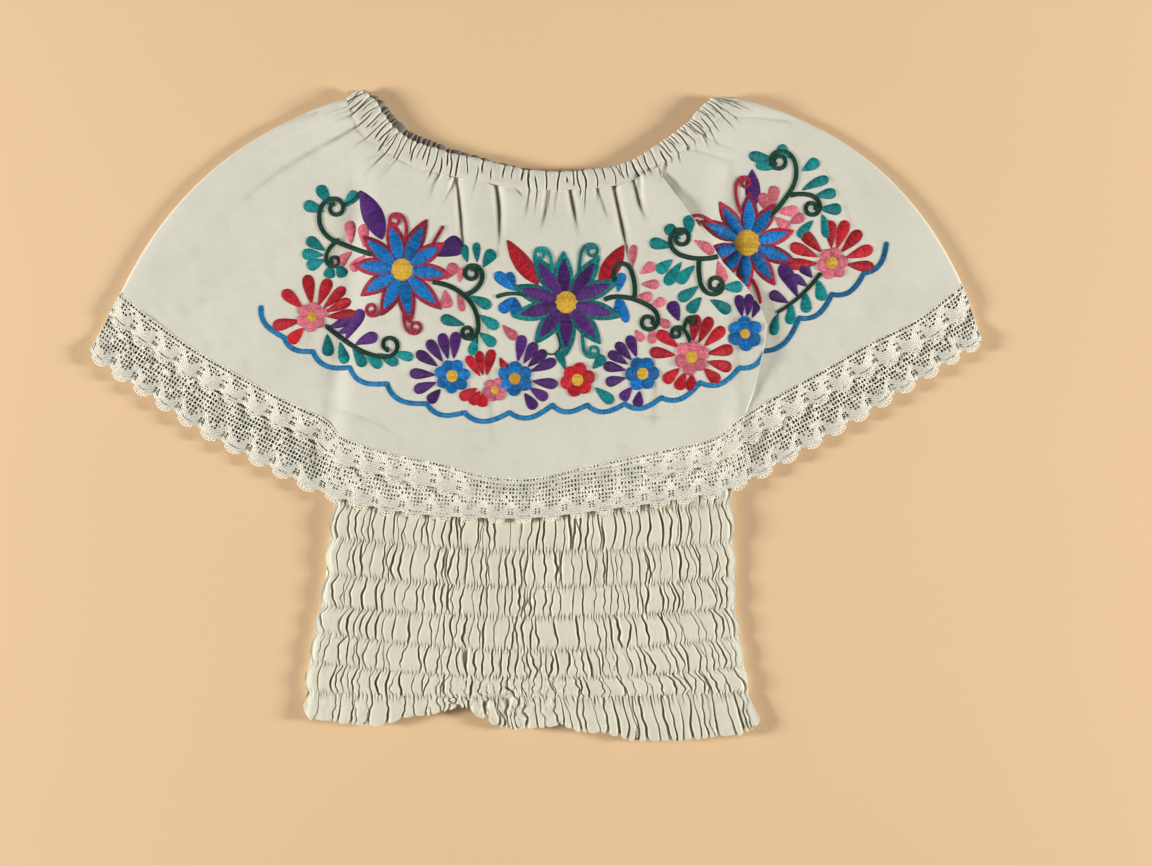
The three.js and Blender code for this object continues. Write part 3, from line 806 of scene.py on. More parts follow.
def casing(node, back, columns, lines, depth, width, material):
    base = 0.0 if back else FOLD_Z + SEAM / 2
    # Rows run from the free edge down to the seam, so that faces turn upwards.
    s, q = np.meshgrid(np.linspace(0, 1, columns + 1), np.linspace(1, 0, CASING_ROWS + 1), indexing="ij")
    creases = gathers(s, q, lines, depth, width)
    puff = 0.30 * waves(s * 420, q * 16, 9, 32)
    # The creases pull in the free edge, and between two of them it bulges.
    pulled = gathers(s, q, lines, 1.0, 2.6 * width)
    share = q + (0.10 - 0.10 * creases / depth - 0.20 * pulled + 0.05 * puff) * q ** 3
    plan = neck_point(s, share, back)
    ends = ease(0, 0.012, np.minimum(s, 1 - s))
    z = base + CASING * casing_section(q) * mix(0.6, 1, ends) + puff
    z = z - (creases + 0.5 * pulled) * np.clip(casing_section(q), 0.3, 1)
    outer = np.concatenate([plan, np.maximum(z, base + 0.5)[..., None]], axis=-1)
    inner = np.concatenate([plan, np.full_like(z, base)[..., None]], axis=-1)
    points, faces = shell_mesh(outer, inner, kept(columns + 1, 4), kept(CASING_ROWS + 1, 5))
    piece = new_piece(node + "_cloth", points, faces, material)
    mark_crease_shade(piece, outer, 3, 1.0, (((0,), 1.0),))
    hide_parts(node)
    return piece


def show_outside(piece, material):
    """The faces that look down are the outside of the cloth, which isn't in the neck's shadow, so they
    take the plain cotton in place of the painted shadow.
    """
    piece.data.materials.append(material)
    down = [face for face in piece.data.polygons if face.normal.z < -0.5]
    for face in down:
        face.material_index = 1
    print(piece.name, "has", len(down), "faces of the outside")


BACK_CREASES = crease_lines(41, 0.004, 0.010)
CASING_FRONT = casing("neck_casing_front", False, 860, NECK_CREASES, 3.4, 0.0014, CASING_CLOTH)
# The back casing's upward faces carry the painted shadow of the neck.
CASING_BACK = casing("neck_casing_back", True, 620, BACK_CREASES, 2.8, 0.0018, SHADOWED_CASING_CLOTH)
show_outside(CASING_BACK, CASING_CLOTH)

# %% [markdown]
# ## The shirred bodice
# Rows of elastic thread pull the cloth into narrow puffs. Between two rows each puff is lens
# shaped: it swells in the middle, is pinched at both ends and leans or wanders a little. The same
# formula draws every puff, and a seeded generator gives each its own width, height and lean. At
# the rows themselves the cloth breaks into much finer gathers.

# %% Plan of the bodice
def bodice_plan(rows, c, back):
    """Plan places. Each row is (kind, table row above, table row below, how far between)."""
    grid = []
    corners = BODY_SIDES[-1, :2] if back else HEM[[0, -1], 0]
    hem_x = mix(corners[0], corners[1], c)
    hem_y = np.full_like(c, BACK_HEM_Y) if back else np.interp(hem_x, HEM[:, 0], HEM[:, 1])
    hem = np.stack([hem_x, hem_y], axis=-1)
    for kind, above, below, between in rows:
        if kind == "neck":
            grid.append(neck_point(mix(0.06, 0.94, c), np.zeros_like(c), back))
            continue
        row = mix(above, below, between)
        bulge = math.sin(math.pi * between) * SIDE_PUFF if kind == "shirred" else 0
        sag = 1 - (2 * c - 1) ** 2
        y = mix(row[2], row[4], c) + (row[3] - (row[2] + row[4]) / 2) * sag
        at = np.stack([mix(row[0] - bulge, row[1] + bulge, c), y], axis=-1)
        grid.append(mix(at, hem, between) if kind == "ruffle" else at)
    return np.stack(grid, axis=1)


def bodice_rows(per_band, first_band, ruffle):
    """Rows of the grid, neck to hem, and for each the band it is in and its place in the band."""
    rows, bands = [("neck", None, None, 0)], [-1]
    for above, below in zip(BODY_SIDES[:3], BODY_SIDES[1:4]):
        rows += [("arm", above, below, k / 3) for k in range(3)]
        bands += [-1] * 3
    for band, (above, below) in enumerate(zip(SHIRRED_ROWS, SHIRRED_ROWS[1:])):
        count = first_band if band == 0 else per_band
        rows += [("shirred", above, below, k / count) for k in range(count)]
        bands += [band] * count
    edge = SHIRRED_ROWS[-1]
    rows += [("ruffle", edge, edge, k / ruffle) for k in range(ruffle + 1)]
    bands = np.array(bands + [len(SHIRRED_ROWS) - 1] * (ruffle + 1))
    return rows, bands, np.array([row[3] for row in rows]) * (bands >= 0)


# %% Creases and puffs of one band
PUFF, WIDEST_PUFF = 3.7, 12.5       # height of a full puff, and how wide one may be
BODY_WIDTH = 325.0
WANDER = (1.8, 1.2, 0.55)           # how far creases bow, snake and kink aside
CREASE_WIDTH, CREASE_DEPTH = 0.8, 0.97      # in millimetres, and as a share of the puff
GATHERS = 180                       # fine puckers at a row of elastic


def crease_places(rng):
    """Where a band's creases stand: wide puffs, and bunches of narrow ones between them."""
    places = [-0.02]
    while places[-1] < 1.02:
        bunch = rng.random() < 0.42
        steps = rng.uniform(2.8, 4.6, rng.integers(2, 4)) if bunch else rng.uniform(5.5, 10.5, 1)
        for step in steps:
            places.append(places[-1] + step / BODY_WIDTH)
    return np.array(places)


LONG_CREASES = crease_places(np.random.default_rng(60))


def band_creases(rng, own_count):
    """A band's own creases: most of the long ones, each a little aside, and a few of its own."""
    run_on = LONG_CREASES[rng.random(len(LONG_CREASES)) < 0.82]
    own = rng.uniform(0, 1, own_count)
    places = np.sort(np.concatenate([run_on + rng.uniform(-1.2, 1.2, len(run_on)) / BODY_WIDTH, own]))
    apart = np.concatenate([[True], np.diff(places) > 2.4 / BODY_WIDTH])
    places = np.concatenate([[-0.02], places[apart & (places > -0.015) & (places < 1.02)], [1.03]])
    gaps = np.diff(places)
    broad = gaps > WIDEST_PUFF / BODY_WIDTH
    between = places[:-1][broad] + gaps[broad] * rng.uniform(0.35, 0.65, broad.sum())
    return np.sort(np.concatenate([places, between]))


def puff_band(c, v, band, seed, ruffle):
    """Height over the lining, 0 to 1, of one band of puffs at places c across and v down it."""
    rng = np.random.default_rng(seed + 17 * band)
    edges = band_creases(rng, 46 if ruffle else 26)
    count = len(edges)
    bow, snake, kink = (rng.uniform(-1, 1, count) * most / BODY_WIDTH for most in WANDER)
    slant = ease(0.35, 0.9, edges) * (-2.0 if ruffle else mix(1.0, 5.0, band / 6))
    lean = (rng.uniform(-1, 1, count) * 2.2 + slant) / BODY_WIDTH
    deep = rng.choice([0.35, 0.55, 0.8, 1.0, 1.0], count)
    wide = mix(0.40, 1.0, deep) * rng.uniform(0.6, 1.45, count)
    middle = rng.uniform(0.35, 0.65, count)
    span = rng.uniform(0.36, 0.66, count)
    high = rng.uniform(0.78, 1.0, count)
    height = np.zeros_like(c)
    for j, place in enumerate(v):
        # Where every crease runs at this row, and how far it opens here.
        line = edges + bow * math.sin(math.pi * place) + snake * math.sin(math.tau * place)
        line = line + lean * (place - 0.5) + kink * math.sin(2.5 * math.tau * place)
        line = np.maximum.accumulate(line + np.arange(count) * 1e-6)
        open_here = np.exp(-np.abs((place - middle) / span) ** 3)
        if ruffle:
            open_here = np.full(count, mix(0.5, 1.0, place))
        # The puff between two creases, with w from 0 to 1 across it.
        k = np.clip(np.searchsorted(line, c[:, j]) - 1, 0, count - 2)
        gap = np.maximum(line[k + 1] - line[k], 1e-6)
        w = np.clip((c[:, j] - line[k]) / gap, 0, 1)
        arch = (4 * w * (1 - w)) ** (0.7 if ruffle else 0.36)
        swell = mix(0.4, 1.0, place) if ruffle else np.sin(math.pi * place) ** 0.5
        body = mix(0.66, mix(0.68, 1.0, arch) * high[k], swell)
        # The cloth drops into the crease on its left and the one on its right.
        drop = np.zeros(len(k))
        for side, share in ((k, w), (k + 1, 1 - w)):
            far = share * gap * BODY_WIDTH / (CREASE_WIDTH * wide[side] * mix(0.42, 1.0, open_here[side]))
            drop = np.maximum(drop, deep[side] * mix(0.25, 1.0, open_here[side]) * np.exp(-far ** 1.6))
        height[:, j] = body * (1 - CREASE_DEPTH * drop)
    return height


def row_gathers(c, band, seed):
    """Fine tight puckers at one row of elastic, 0 to 1."""
    rng = np.random.default_rng(seed + 31 * band)
    at = np.linspace(0, 1, GATHERS)
    place = np.interp(c, at, np.cumsum(rng.uniform(0.6, 1.4, GATHERS)))
    depth = np.interp(c, at, rng.uniform(0.4, 1, GATHERS))
    return (0.5 + 0.5 * np.sin(place * math.tau * 0.72)) * depth


# %% Height of the bodice
def bodice_height(c, bands, places, seed):
    """Height of the whole bodice over its creases, in millimetres."""
    z = np.zeros_like(c)
    last = bands.max()
    for band in range(last + 1):
        here = np.where(bands == band)[0]
        v = places[here]
        ruffle = band == last
        z[:, here] = PUFF * puff_band(c[:, here], v, band, seed, ruffle)
        for edge, close in ((band, v), (band + 1, 1 - v))[:1 if ruffle else 2]:
            near = np.exp(-((close * (5 if ruffle else 8) / 1.2) ** 2))
            z[:, here] -= 1.2 * near * row_gathers(c[:, here], edge, seed)
    return z


def bodice_grid(per_band, first_band, ruffle, columns, back, span):
    """Its rows, plan, places across, and height of the lining, which steps down under the flounce."""
    rows, bands, places = bodice_rows(per_band, first_band, ruffle)
    c = np.linspace(0, 1, columns + 1)
    plan = bodice_plan(rows, c, back)
    across = c[:, None] * np.ones(len(rows))
    down = bands >= 2 if back else (bands > 2) | ((bands == 2) & (places > 0))
    base = BACK_BODICE_Z if back else FRONT_INSIDE_Z
    lining = base - STEP_DOWN * ease(0, 1, blurred(down[None, :] * 1.0, span)[0])
    return bands, places, plan, across, lining


# %% Front of the bodice
BODICE_COLUMNS, BODICE_CLOTH = 560, 1.1
TANGLE = (-25, -228, 52, 20)        # where the hem is crumpled: x, y, width, height
PIT = (-59, -194, 3.2, 6.5, 3.4)    # a deep hole between two puffs, and its depth


def spot(x, y, at_x, at_y, wide, high):
    return np.exp(-(((x - at_x) / wide) ** 2) - ((y - at_y) / high) ** 2)


def bodice_front():
    bands, places, plan, across, inside = bodice_grid(20, 7, 13, BODICE_COLUMNS, False, 4)
    x, y = plan[..., 0], plan[..., 1]
    tangle = spot(x, y, *TANGLE)
    # Creases wander in the crumpled part, and large waves make some puffs higher than others.
    across = across + tangle * 0.012 * waves(x, y, 16, 51)
    z = bodice_height(across, bands, places, 61)
    z = z * (1 + 0.18 * waves(x, y, 70, 52)) + 0.20 * waves(x, y, 7, 53, 10)
    crumple = 1.5 * np.abs(waves(x, y * 0.6, 9, 54, 9)) + 1.1 * np.abs(waves(x, y * 0.6, 5, 55, 9)) - 0.4
    z = z + tangle * crumple - PIT[4] * spot(x, y, *PIT[:4])
    # The hem waves up and down with its puffs, and the sides are thinner.
    ruffle = (bands == bands.max()) * places ** 1.5
    y = y - ruffle * (5.4 * z / PUFF - 3.4)
    z = np.maximum(z, 0) * mix(0.25, 1, ease(0, 0.02, np.minimum(across, 1 - across)))
    outer = np.stack([x, y, inside + BODICE_CLOTH + z], axis=-1)
    low = np.maximum(lowest_around(outer[..., 2], 2) - BODICE_CLOTH, inside)
    inner = np.stack([x, y, low], axis=-1)
    points, faces = shell_mesh(outer, inner, kept(BODICE_COLUMNS + 1, 4), kept(len(bands), 6))
    piece = new_piece("bodice_front_cloth", points, faces, SHIRRED_CLOTH, 60)
    mark_crease_shade(piece, outer, 5, 1.6, (((0,), 1.0), ((1,), 0.7)))
    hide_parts("bodice_front")
    return piece


BODICE_FRONT = bodice_front()


# %% Back of the bodice
BACK_BODICE_COLUMNS, PRESSED = 220, 0.9


def bodice_back():
    bands, places, plan, across, under = bodice_grid(8, 4, 5, BACK_BODICE_COLUMNS, True, 2)
    pressed = np.clip(bodice_height(across, bands, places, 71) / PUFF, 0, 1)
    x, y = plan[..., 0], plan[..., 1]
    floor = np.stack([x, y, under + PRESSED * (1 - pressed)], axis=-1)
    over = np.stack([x, y, np.ones_like(x) * (under + BACK_BODICE)], axis=-1)
    columns, rows = kept(BACK_BODICE_COLUMNS + 1, 5), kept(len(bands), 4)
    points, faces = shell_mesh(floor[::-1], over[::-1], columns, rows)
    piece = new_piece("bodice_back_cloth", points, faces, SHIRRED_CLOTH, 60)
    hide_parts("bodice_back")
    return piece


BODICE_BACK = bodice_back()

# %% [markdown]
# ## The lace
# The lace is a band of crochet-like net in a repeat of 21.6 mm: rows of small holes, a fan of holes
# under a solid arc, a few long slits, and a scalloped edge with thread loops. One repeat is charted
# as rows of cells, where an o is a hole, a dot is solid and a dash is a slit. Each hole cell is a
# ring of faces from the cell's border down to the hole's rim, above and below, so every thread
# gets a rounded section and light passes through every hole.

# %% Lace charts
# Height of each row of cells in millimetres, its eight cells, and the hole's share of its cell.
EDGING = [
    (0.7, "........", 0, 0),
    (2.5, "oooooooo", 0.30, 0.34),
    (1.0, "........", 0, 0),
    (2.6, ".oooooo.", 0.26, 0.32),
    (2.7, "..oooo..", 0.26, 0.32),
    (2.6, "o..oo..o", 0.26, 0.32),
    (2.4, "........", 0, 0),
    (2.0, "o......o", 0.44, 0.54),
    (1.4, "-......-", 0.68, 0.46),
    (1.0, "..----..", 0.76, 0.40),
    (2.4, "........", 0, 0),
]
NET = [
    (1.2, "........", 0, 0),
    (3.5, "oooooooo", 0.24, 0.38),
    (3.5, "oooooooo", 0.24, 0.38),
    (3.5, "oooooooo", 0.24, 0.38),
    (3.5, "oooooooo", 0.24, 0.38),
    (3.2, "oooooooo", 0.26, 0.38),
    (3.1, ".oooooo.", 0.26, 0.36),
    (2.7, "..oooo..", 0.26, 0.36),
    (2.5, "o..oo..o", 0.26, 0.34),
    (2.2, "o......o", 0.44, 0.54),
    (1.4, "-......-", 0.70, 0.48),
    (1.0, "..----..", 0.76, 0.40),
    (2.2, "........", 0, 0),
]
BACK_NET = NET[:2] + NET[1:4] * 2 + NET[3:]


def scallop(b, a, width):
    """How far the cells move outwards at place b of the repeat: lobes at the edge."""
    lobe = np.sin(math.pi * (b % REPEAT) / REPEAT) ** 0.8
    fringe = 0.5 * np.cos(math.tau * b * 3 / REPEAT)
    deep = mix(1.2, 2.6, ease(80, 150, np.abs(b - LACE_MIDDLE)))
    arched = deep * (lobe - 1) * ease(width - 17, width - 1, a)
    return arched + fringe * lobe * ease(width - 3, width, a)


# %% Length of the lace
def arc_stations():
    """Stations along the lace, and how far it has run at each."""
    s = np.linspace(0, 1, 1200)
    row = along(STATIONS, s)
    line = row[:, HEMLINE] * 0.4 + row[:, EDGE] * 0.6
    run = np.concatenate([[0], np.cumsum(np.linalg.norm(np.diff(line, axis=0), axis=1))])
    return s, run


LACE_S, LACE_RUN = arc_stations()
REPEATS = round(LACE_RUN[-1] / REPEAT)
LACE_MIDDLE = 0.51 * REPEATS * REPEAT
print("lace:", round(LACE_RUN[-1]), "mm,", REPEATS, "repeats")


# %% Knots of the net
KNOT_B, KNOT_A = 0.36, 0.28         # how far a knot may stand aside along and across the lace
CLOSED_HOLES, OPEN_SLITS = 0.07, 0.5     # shares of the holes and of the slits
WING_LACE = (150, 220)              # how far from the middle the holes grow to their full width
HOLE_RING = ((0, 0), (0, 1), (0, 2), (1, 2), (2, 2), (2, 1), (2, 0), (1, 0))
BORDER = 0.62                       # thickness of the two borders, as a share of the full one


def net_knots(rng, chart):
    """Places b along and a across the band of each cell's corners, sides and middle."""
    depths = np.concatenate([[0], np.cumsum([row[0] for row in chart])])
    half = np.sort(np.concatenate([depths, (depths[:-1] + depths[1:]) / 2]))
    b, a = np.meshgrid(np.arange(16 * REPEATS + 1) * (REPEAT / 16), half, indexing="ij")
    length, width = b[-1, -1], depths[-1]
    b = b + rng.uniform(-KNOT_B, KNOT_B, b.shape) * ease(0, 1, np.minimum(b, length - b))
    a = a + rng.uniform(-KNOT_A, KNOT_A, a.shape) * ease(0, 2, np.minimum(a, width - a))
    return b, a, width


def net_cells(rng, chart, b, a):
    """The solid cells, the cells with a hole, and for every hole its ring of places and how darkly its
    inside is painted as shade.
    """
    solid, open_cells, ring_b, ring_a, ring_shade = [], [], [], [], []
    slit = rng.random(REPEATS) < OPEN_SLITS
    for row, (_, marks, wide, tall) in enumerate(chart):
        for cell in range(8 * REPEATS):
            i, j = 2 * cell, 2 * row
            mark = marks[cell % 8]
            shut = mark == "-" and 2 <= cell % 8 <= 5 and not slit[cell // 8]
            if shut or mark == "." or (mark == "o" and rng.random() < CLOSED_HOLES):
                solid.append((i, j))
                continue
            # The hole's ring is its cell's border, shrunk. In the middle the holes are narrower.
            grow = rng.uniform(0.72, 1.2)
            cb, ca = b[i + 1, j + 1], a[i + 1, j + 1]
            wing = float(ease(*WING_LACE, abs(cb - LACE_MIDDLE)))
            sb = mix(0.55, 1.0, wing) * wide * (grow if mark == "o" else 1)
            sa = mix(0.95, 1.0, wing) * tall * rng.uniform(0.75, 1.15)
            # How darkly the inside of this hole is painted as shade.
            ring_shade += [mix(0.78, 1.0, wing) * rng.uniform(0.72, 1.40)] * 8
            for di, dj in HOLE_RING:
                corner = 0.80 if di != 1 and dj != 1 else 1.0
                ring_b.append(cb + (b[i + di, j + dj] - cb) * sb * corner)
                ring_a.append(ca + (a[i + di, j + dj] - ca) * sa * corner)
            open_cells.append((i, j))
    return solid, open_cells, np.array(ring_b), np.array(ring_a), np.array(ring_shade)


# %% Lace mesh
def lace_mesh(chart, place, height, seed):
    """Points and faces of a band. place(b, a) gives the plan and height(x, y, a) its underside."""
    rng = np.random.default_rng(seed)
    b, a, width = net_knots(rng, chart)
    solid, open_cells, ring_b, ring_a, ring_shade = net_cells(rng, chart, b, a)
    all_b, flat_a = np.concatenate([b.ravel(), ring_b]), np.concatenate([a.ravel(), ring_a])
    all_a = flat_a + scallop(all_b, flat_a, width)
    plan = place(all_b, all_a)
    base = height(plan[:, 0], plan[:, 1], all_a) + LACE / 2
    border = np.where((a <= 0) | (a >= width), BORDER, 1.0).ravel()
    round_off = np.concatenate([border, np.zeros(len(ring_b))]) * rng.uniform(0.86, 1.0, len(all_a))
    sides = [np.column_stack([plan, base + way * LACE / 2 * round_off]) for way in (1, -1)]
    # Faces from each cell's border to its hole, above and below, then solid cells and the rim.
    at, total = np.arange(b.size).reshape(b.shape), len(all_a)
    used = np.zeros(b.size, bool)
    faces = []
    for hole, (i, j) in enumerate(open_cells):
        corners = [at[i + di, j + dj] for di, dj in HOLE_RING]
        used[corners] = True
        first = b.size + 8 * hole
        for k in range(8):
            a0, a1, r0, r1 = corners[k], corners[(k + 1) % 8], first + k, first + (k + 1) % 8
            faces += [(a0, r0, r1, a1), (a0 + total, a1 + total, r1, r0)]
    for i, j in solid:
        used[at[i:i + 3, j:j + 3]] = True
        for di, dj in ((0, 0), (1, 0), (0, 1), (1, 1)):
            quad = quads(at[i + di:i + di + 2, j + dj:j + dj + 2])[0]
            faces += [quad[::-1], quad + total]
    for line in (at[:, 0], at[::-1, -1], at[0, ::-1], at[-1, :]):
        faces += [(q, p, p + total, q + total) for p, q in zip(line, line[1:])]
    # Points that no face uses are left out. A hole's ring is shared by both sides.
    own = np.ones(len(ring_b), bool)
    keep = np.concatenate([used, own, used, ~own])
    new = np.cumsum(keep) - 1
    faces = [[int(new[p]) for p in face][::-1] for face in faces]
    uv = np.column_stack([all_b, flat_a])
    # The painted shade inside every hole, none on the rest of the net.
    holes = np.concatenate([np.zeros(b.size), ring_shade])
    return np.vstack(sides)[keep], faces, np.vstack([uv, uv])[keep], np.concatenate([holes, holes])[keep]


# %% Thread loops at the edge
LOOPS = ((-5.0, -0.5), (-2.4, 0.3), (0.0, 1.3), (2.4, 0.3), (5.0, -0.5))     # along the edge, and outwards
LOOP_RADIUS, LOOP_THREAD = 1.3, 0.5
LOOP_POINTS, THREAD_POINTS = 8, 3


def add_loops(points, faces, place, height, width):
    """Thread loops on every scallop, the middle ones further out."""
    points = list(points)
    for repeat in range(REPEATS):
        for shift, out in LOOPS:
            b = (repeat + 0.5) * REPEAT + shift
            tip = width + scallop(np.array(b), np.array(width), width) + LOOP_RADIUS * 0.8 + out
            centre = place(np.array([b]), np.array([tip]))[0]
            base = height(centre[:1], centre[1:], np.array([tip]))[0] + LACE / 2
            at = len(points) + np.arange(LOOP_POINTS * THREAD_POINTS).reshape(LOOP_POINTS, THREAD_POINTS)
            for turn in np.arange(LOOP_POINTS) * math.tau / LOOP_POINTS:
                for corner in range(THREAD_POINTS):
                    tilt = corner * math.tau / THREAD_POINTS + 0.5
                    r = LOOP_RADIUS + LOOP_THREAD * math.cos(tilt)
                    side = (centre[0] + r * math.cos(turn), centre[1] + r * math.sin(turn))
                    points.append((*side, base + LOOP_THREAD * math.sin(tilt)))
            ahead, beside = np.roll(at, -1, axis=0), np.roll(at, -1, axis=1)
            opposite = np.roll(ahead, -1, axis=1)
            faces += np.stack([at, ahead, opposite, beside], axis=-1).reshape(-1, 4).tolist()
    return np.array(points), faces


def lace_piece(node, chart, place, height, seed, material):
    points, faces, uv, holes = lace_mesh(chart, place, height, seed)
    width = sum(row[0] for row in chart)
    points, faces = add_loops(points, faces, place, height, width)
    piece = new_piece(node + "_thread", points, faces, material, 75)
    loops = len(points) - len(uv)
    store_thread(piece, np.vstack([uv, np.zeros((loops, 2))]) / REPEAT)
    # The inside of every hole is painted dark as shade, through the crease attribute.
    store(piece, "crease", np.concatenate([holes, np.zeros(loops)]))
    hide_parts(node)
    return piece


# %% The three bands
MIDDLE = (-66, -40, 72, 104)        # between these the lower band lies over the upper one
LACE_Z = {"lower": (1.7, 9.0), "upper": (3.4, 10.5)}
SWAP_DOWN, SWAP_UP = 1.7, 1.5
EDGE_LIFT = 3.0                     # the free edge of the wings curls up a little from the floor
NET_WIDTH, BACK_WIDTH = (sum(row[0] for row in chart) for chart in (NET, BACK_NET))


def hem_and_edge(b):
    """The cloth's hem, the lace's edge, the way from one to the other and how far it is."""
    s = np.interp(b / (REPEAT * REPEATS) * LACE_RUN[-1], LACE_RUN, LACE_S)
    row = along(STATIONS, s)
    hem, edge = row[:, HEMLINE], row[:, EDGE]
    return hem, edge, unit(edge - hem), np.linalg.norm(edge - hem, axis=-1)


def swapped(x):
    return ease(MIDDLE[0], MIDDLE[1], x) * ease(MIDDLE[3], MIDDLE[2], x)


def edging_place(b, a):
    hem, _, out, _ = hem_and_edge(b)
    return hem + out * a[:, None]


def edging_height(x, y, a):
    z = mix(*LACE_Z["upper"], over_body(x, y)) + 0.3 * waves(x, y, 30, 81)
    return z - SWAP_DOWN * swapped(x) * ease(1.5, 5, a) + 0.5 * ease(2, 0, a)


def net_place(b, a):
    _, edge, out, reach = hem_and_edge(b)
    scale = np.minimum(1, (reach - 3.2) / NET_WIDTH)
    return edge - out * ((NET_WIDTH - a) * scale)[:, None]


def net_height(x, y, a):
    z = mix(*LACE_Z["lower"], over_body(x, y)) + 0.3 * waves(x, y, 34, 82)
    lift = EDGE_LIFT * (1 - over_body(x, y)) * ease(NET_WIDTH * 0.4, NET_WIDTH, a)
    return np.maximum(z + SWAP_UP * swapped(x), 1.5) + lift


def back_place(b, a):
    hem, _, out, reach = hem_and_edge(b)
    return hem + out * (a * 0.96 * reach / BACK_WIDTH)[:, None]


def back_height(x, y, a):
    return np.zeros_like(x)


LACE_UPPER = lace_piece("lace_upper_front", EDGING, edging_place, edging_height, 91, EDGING_THREAD)
LACE_LOWER = lace_piece("lace_lower_front", NET, net_place, net_height, 92, NET_THREAD)
LACE_BACK = lace_piece("lace_back", BACK_NET, back_place, back_height, 93, NET_THREAD)

# %% [markdown]
# ## The embroidery
# The garland is satin stitch: threads laid side by side across each petal, leaf and stem, raised a
# little over the cloth. Every shape is a spine with a width, and one function lays the rows of
# thread across it. Petals, fans, curls and rosettes are formulas set down at their places, so the
# ordinary flowers and leaves of folk embroidery come out of a few short lists. When all rows of
# a colour are laid, they are dropped onto the cloth by casting rays, so they follow every fold.

# %% Thread finishes
THREADS = {
    "blue": (0.006, 0.205, 0.600),
    "sky": (0.012, 0.225, 0.490),
    "teal": (0.002, 0.275, 0.275),
    "green": (0.006, 0.058, 0.034),
    "purple": (0.098, 0.020, 0.190),
    "red": (0.640, 0.014, 0.028),
    "crimson": (0.470, 0.024, 0.060),
    "pink": (0.900, 0.180, 0.235),
    "yellow": (0.980, 0.480, 0.050),
}
# The gaps between strands are painted shade, and so are the darkened ends of each row.
DARK = {"yellow": 0.52, "pink": 0.44}     # tone of the gaps between strands, where it isn't the usual one
USUAL_DARK, STRAND, FLOSS_ROUGH = 0.32, 0.55, (0.67, 0.47)


def satin_thread(colour):
    """Shiny floss. The thread pitch follows the piece's own UV map, along each spine."""
    floss = Finish(colour + " floss")
    strand = floss.stripes("Y", floss.thread_uv(), STRAND, 1.2)
    floss.bump(0.6, 0.0002, floss.math("MULTIPLY_ADD", floss.noise(1500), 0.6, strand))
    # The strand stripes paint shade in the gaps between strands. The tone attribute adds random tone and
    # painted shade at the row ends.
    patch = floss.math("MULTIPLY_ADD", floss.attribute("tone"), 0.22, floss.noise(520, 4, 0.75))
    cloud = floss.math("MULTIPLY_ADD", strand, 0.22, patch)
    tones = (DARK.get(colour, USUAL_DARK), 1.32)
    floss.feed(floss.shader, {
        "Base Color": floss.ramp(cloud, THREADS[colour], (0.42, 0.84), tones, 0.003),
        "Roughness": floss.remap(strand, 0, 1, *FLOSS_ROUGH),
        "Sheen Weight": 0.02, "Specular IOR Level": 0.18,
    })
    return floss.material


FLOSS = {colour: satin_thread(colour) for colour in THREADS}


# %% Laying satin stitches
STITCH = 0.95                       # distance between two modelled rows of thread
FRAY = 0.16                         # how far a row's ends may stand in or out
THINNEST = 0.25                     # least half width of a row
RIDGES = (-0.03, 0.05)              # rows lie low and high by turns
STITCH_SECTION = ((-1.0, -0.25), (-0.86, 0.34), (0.0, 0.62), (0.86, 0.34), (1.0, -0.25))
laid = {name: [] for name in THREADS}
stitch_rng = np.random.default_rng(101)
TUCK_CUT, TUCK_UNDER, NO_CUT = 1.3, -4.0, 1e9


def satin(colour, spine, half, under=False, lift=0.0):
    """Rows of thread across a spine of points, each with its half width, as one raised patch."""
    spine = np.asarray(spine, float)
    ahead = np.gradient(spine, axis=0)
    square = unit(np.stack([-ahead[:, 1], ahead[:, 0]], axis=-1))
    rows = []
    run = np.concatenate([[0], np.cumsum(np.linalg.norm(np.diff(spine, axis=0), axis=1))])
    for k, (point, normal, wide) in enumerate(zip(spine, square, half)):
        ends = stitch_rng.uniform(-FRAY, FRAY, 2)
        row = []
        for across, high in STITCH_SECTION:
            reach = across * max(wide, THINNEST)
            if abs(across) > 0.5:
                reach += math.copysign(ends[int(across > 0)] * min(1, wide / 2), across)
            x, y = point + normal * reach
            crown = high * min(1, 0.35 + wide / 2.2)
            row.append((x, y, crown + (RIDGES[k % 2] if high > 0 else 0) + lift, across, run[k]))
        rows.append(row)
    # A patch on the tuck ends at its lip. One beside the tuck starts a little way under it.
    rows = np.array(rows)
    way = -1 if under else 1
    cut = tuck_line(rows[..., 1]) + (TUCK_UNDER if under else TUCK_CUT)
    limit = np.where(rows[..., 1] > TUCK_BOTTOM, cut, way * NO_CUT)
    past = way * rows[..., 0] > way * limit
    kept_rows = ~past.all(axis=1)
    rows[..., 0] = np.where(past, limit, rows[..., 0])
    # Each unbroken run of rows that is left becomes a patch.
    start = 0
    for k in range(len(rows) + 1):
        if k == len(rows) or not kept_rows[k]:
            if k - start >= 2:
                laid[colour].append((rows[start:k], under))
            start = k + 1


# %% Leaves, blades and fans
def spine_of(x, y, turn, length, bend=0.0):
    """Points of a gently bent spine, closer together at its tip."""
    count = max(4, round(length / STITCH))
    f = np.linspace(0, 1, count + 1)
    f = 1 - (1 - f) ** 1.25
    heading = math.radians(turn) + math.radians(bend) * (f - 0.5)
    step = np.diff(f) * length
    px = x + np.concatenate([[0], np.cumsum(np.cos(heading[:-1]) * step)])
    py = y + np.concatenate([[0], np.cumsum(np.sin(heading[:-1]) * step)])
    return f, np.column_stack([px, py])


def leaf(colour, x, y, turn, length, width, under=False, bend=None):
    """A drop shaped leaf: a pointed foot and a round end."""
    bend = stitch_rng.uniform(-22, 22) if bend is None else bend
    f, spine = spine_of(x, y, turn, length, bend)
    drop = f ** 0.8 * np.clip(1 - f ** 4.5, 0, 1) ** 0.6
    satin(colour, spine, 0.25 + width / 2 * drop / drop.max(), under)


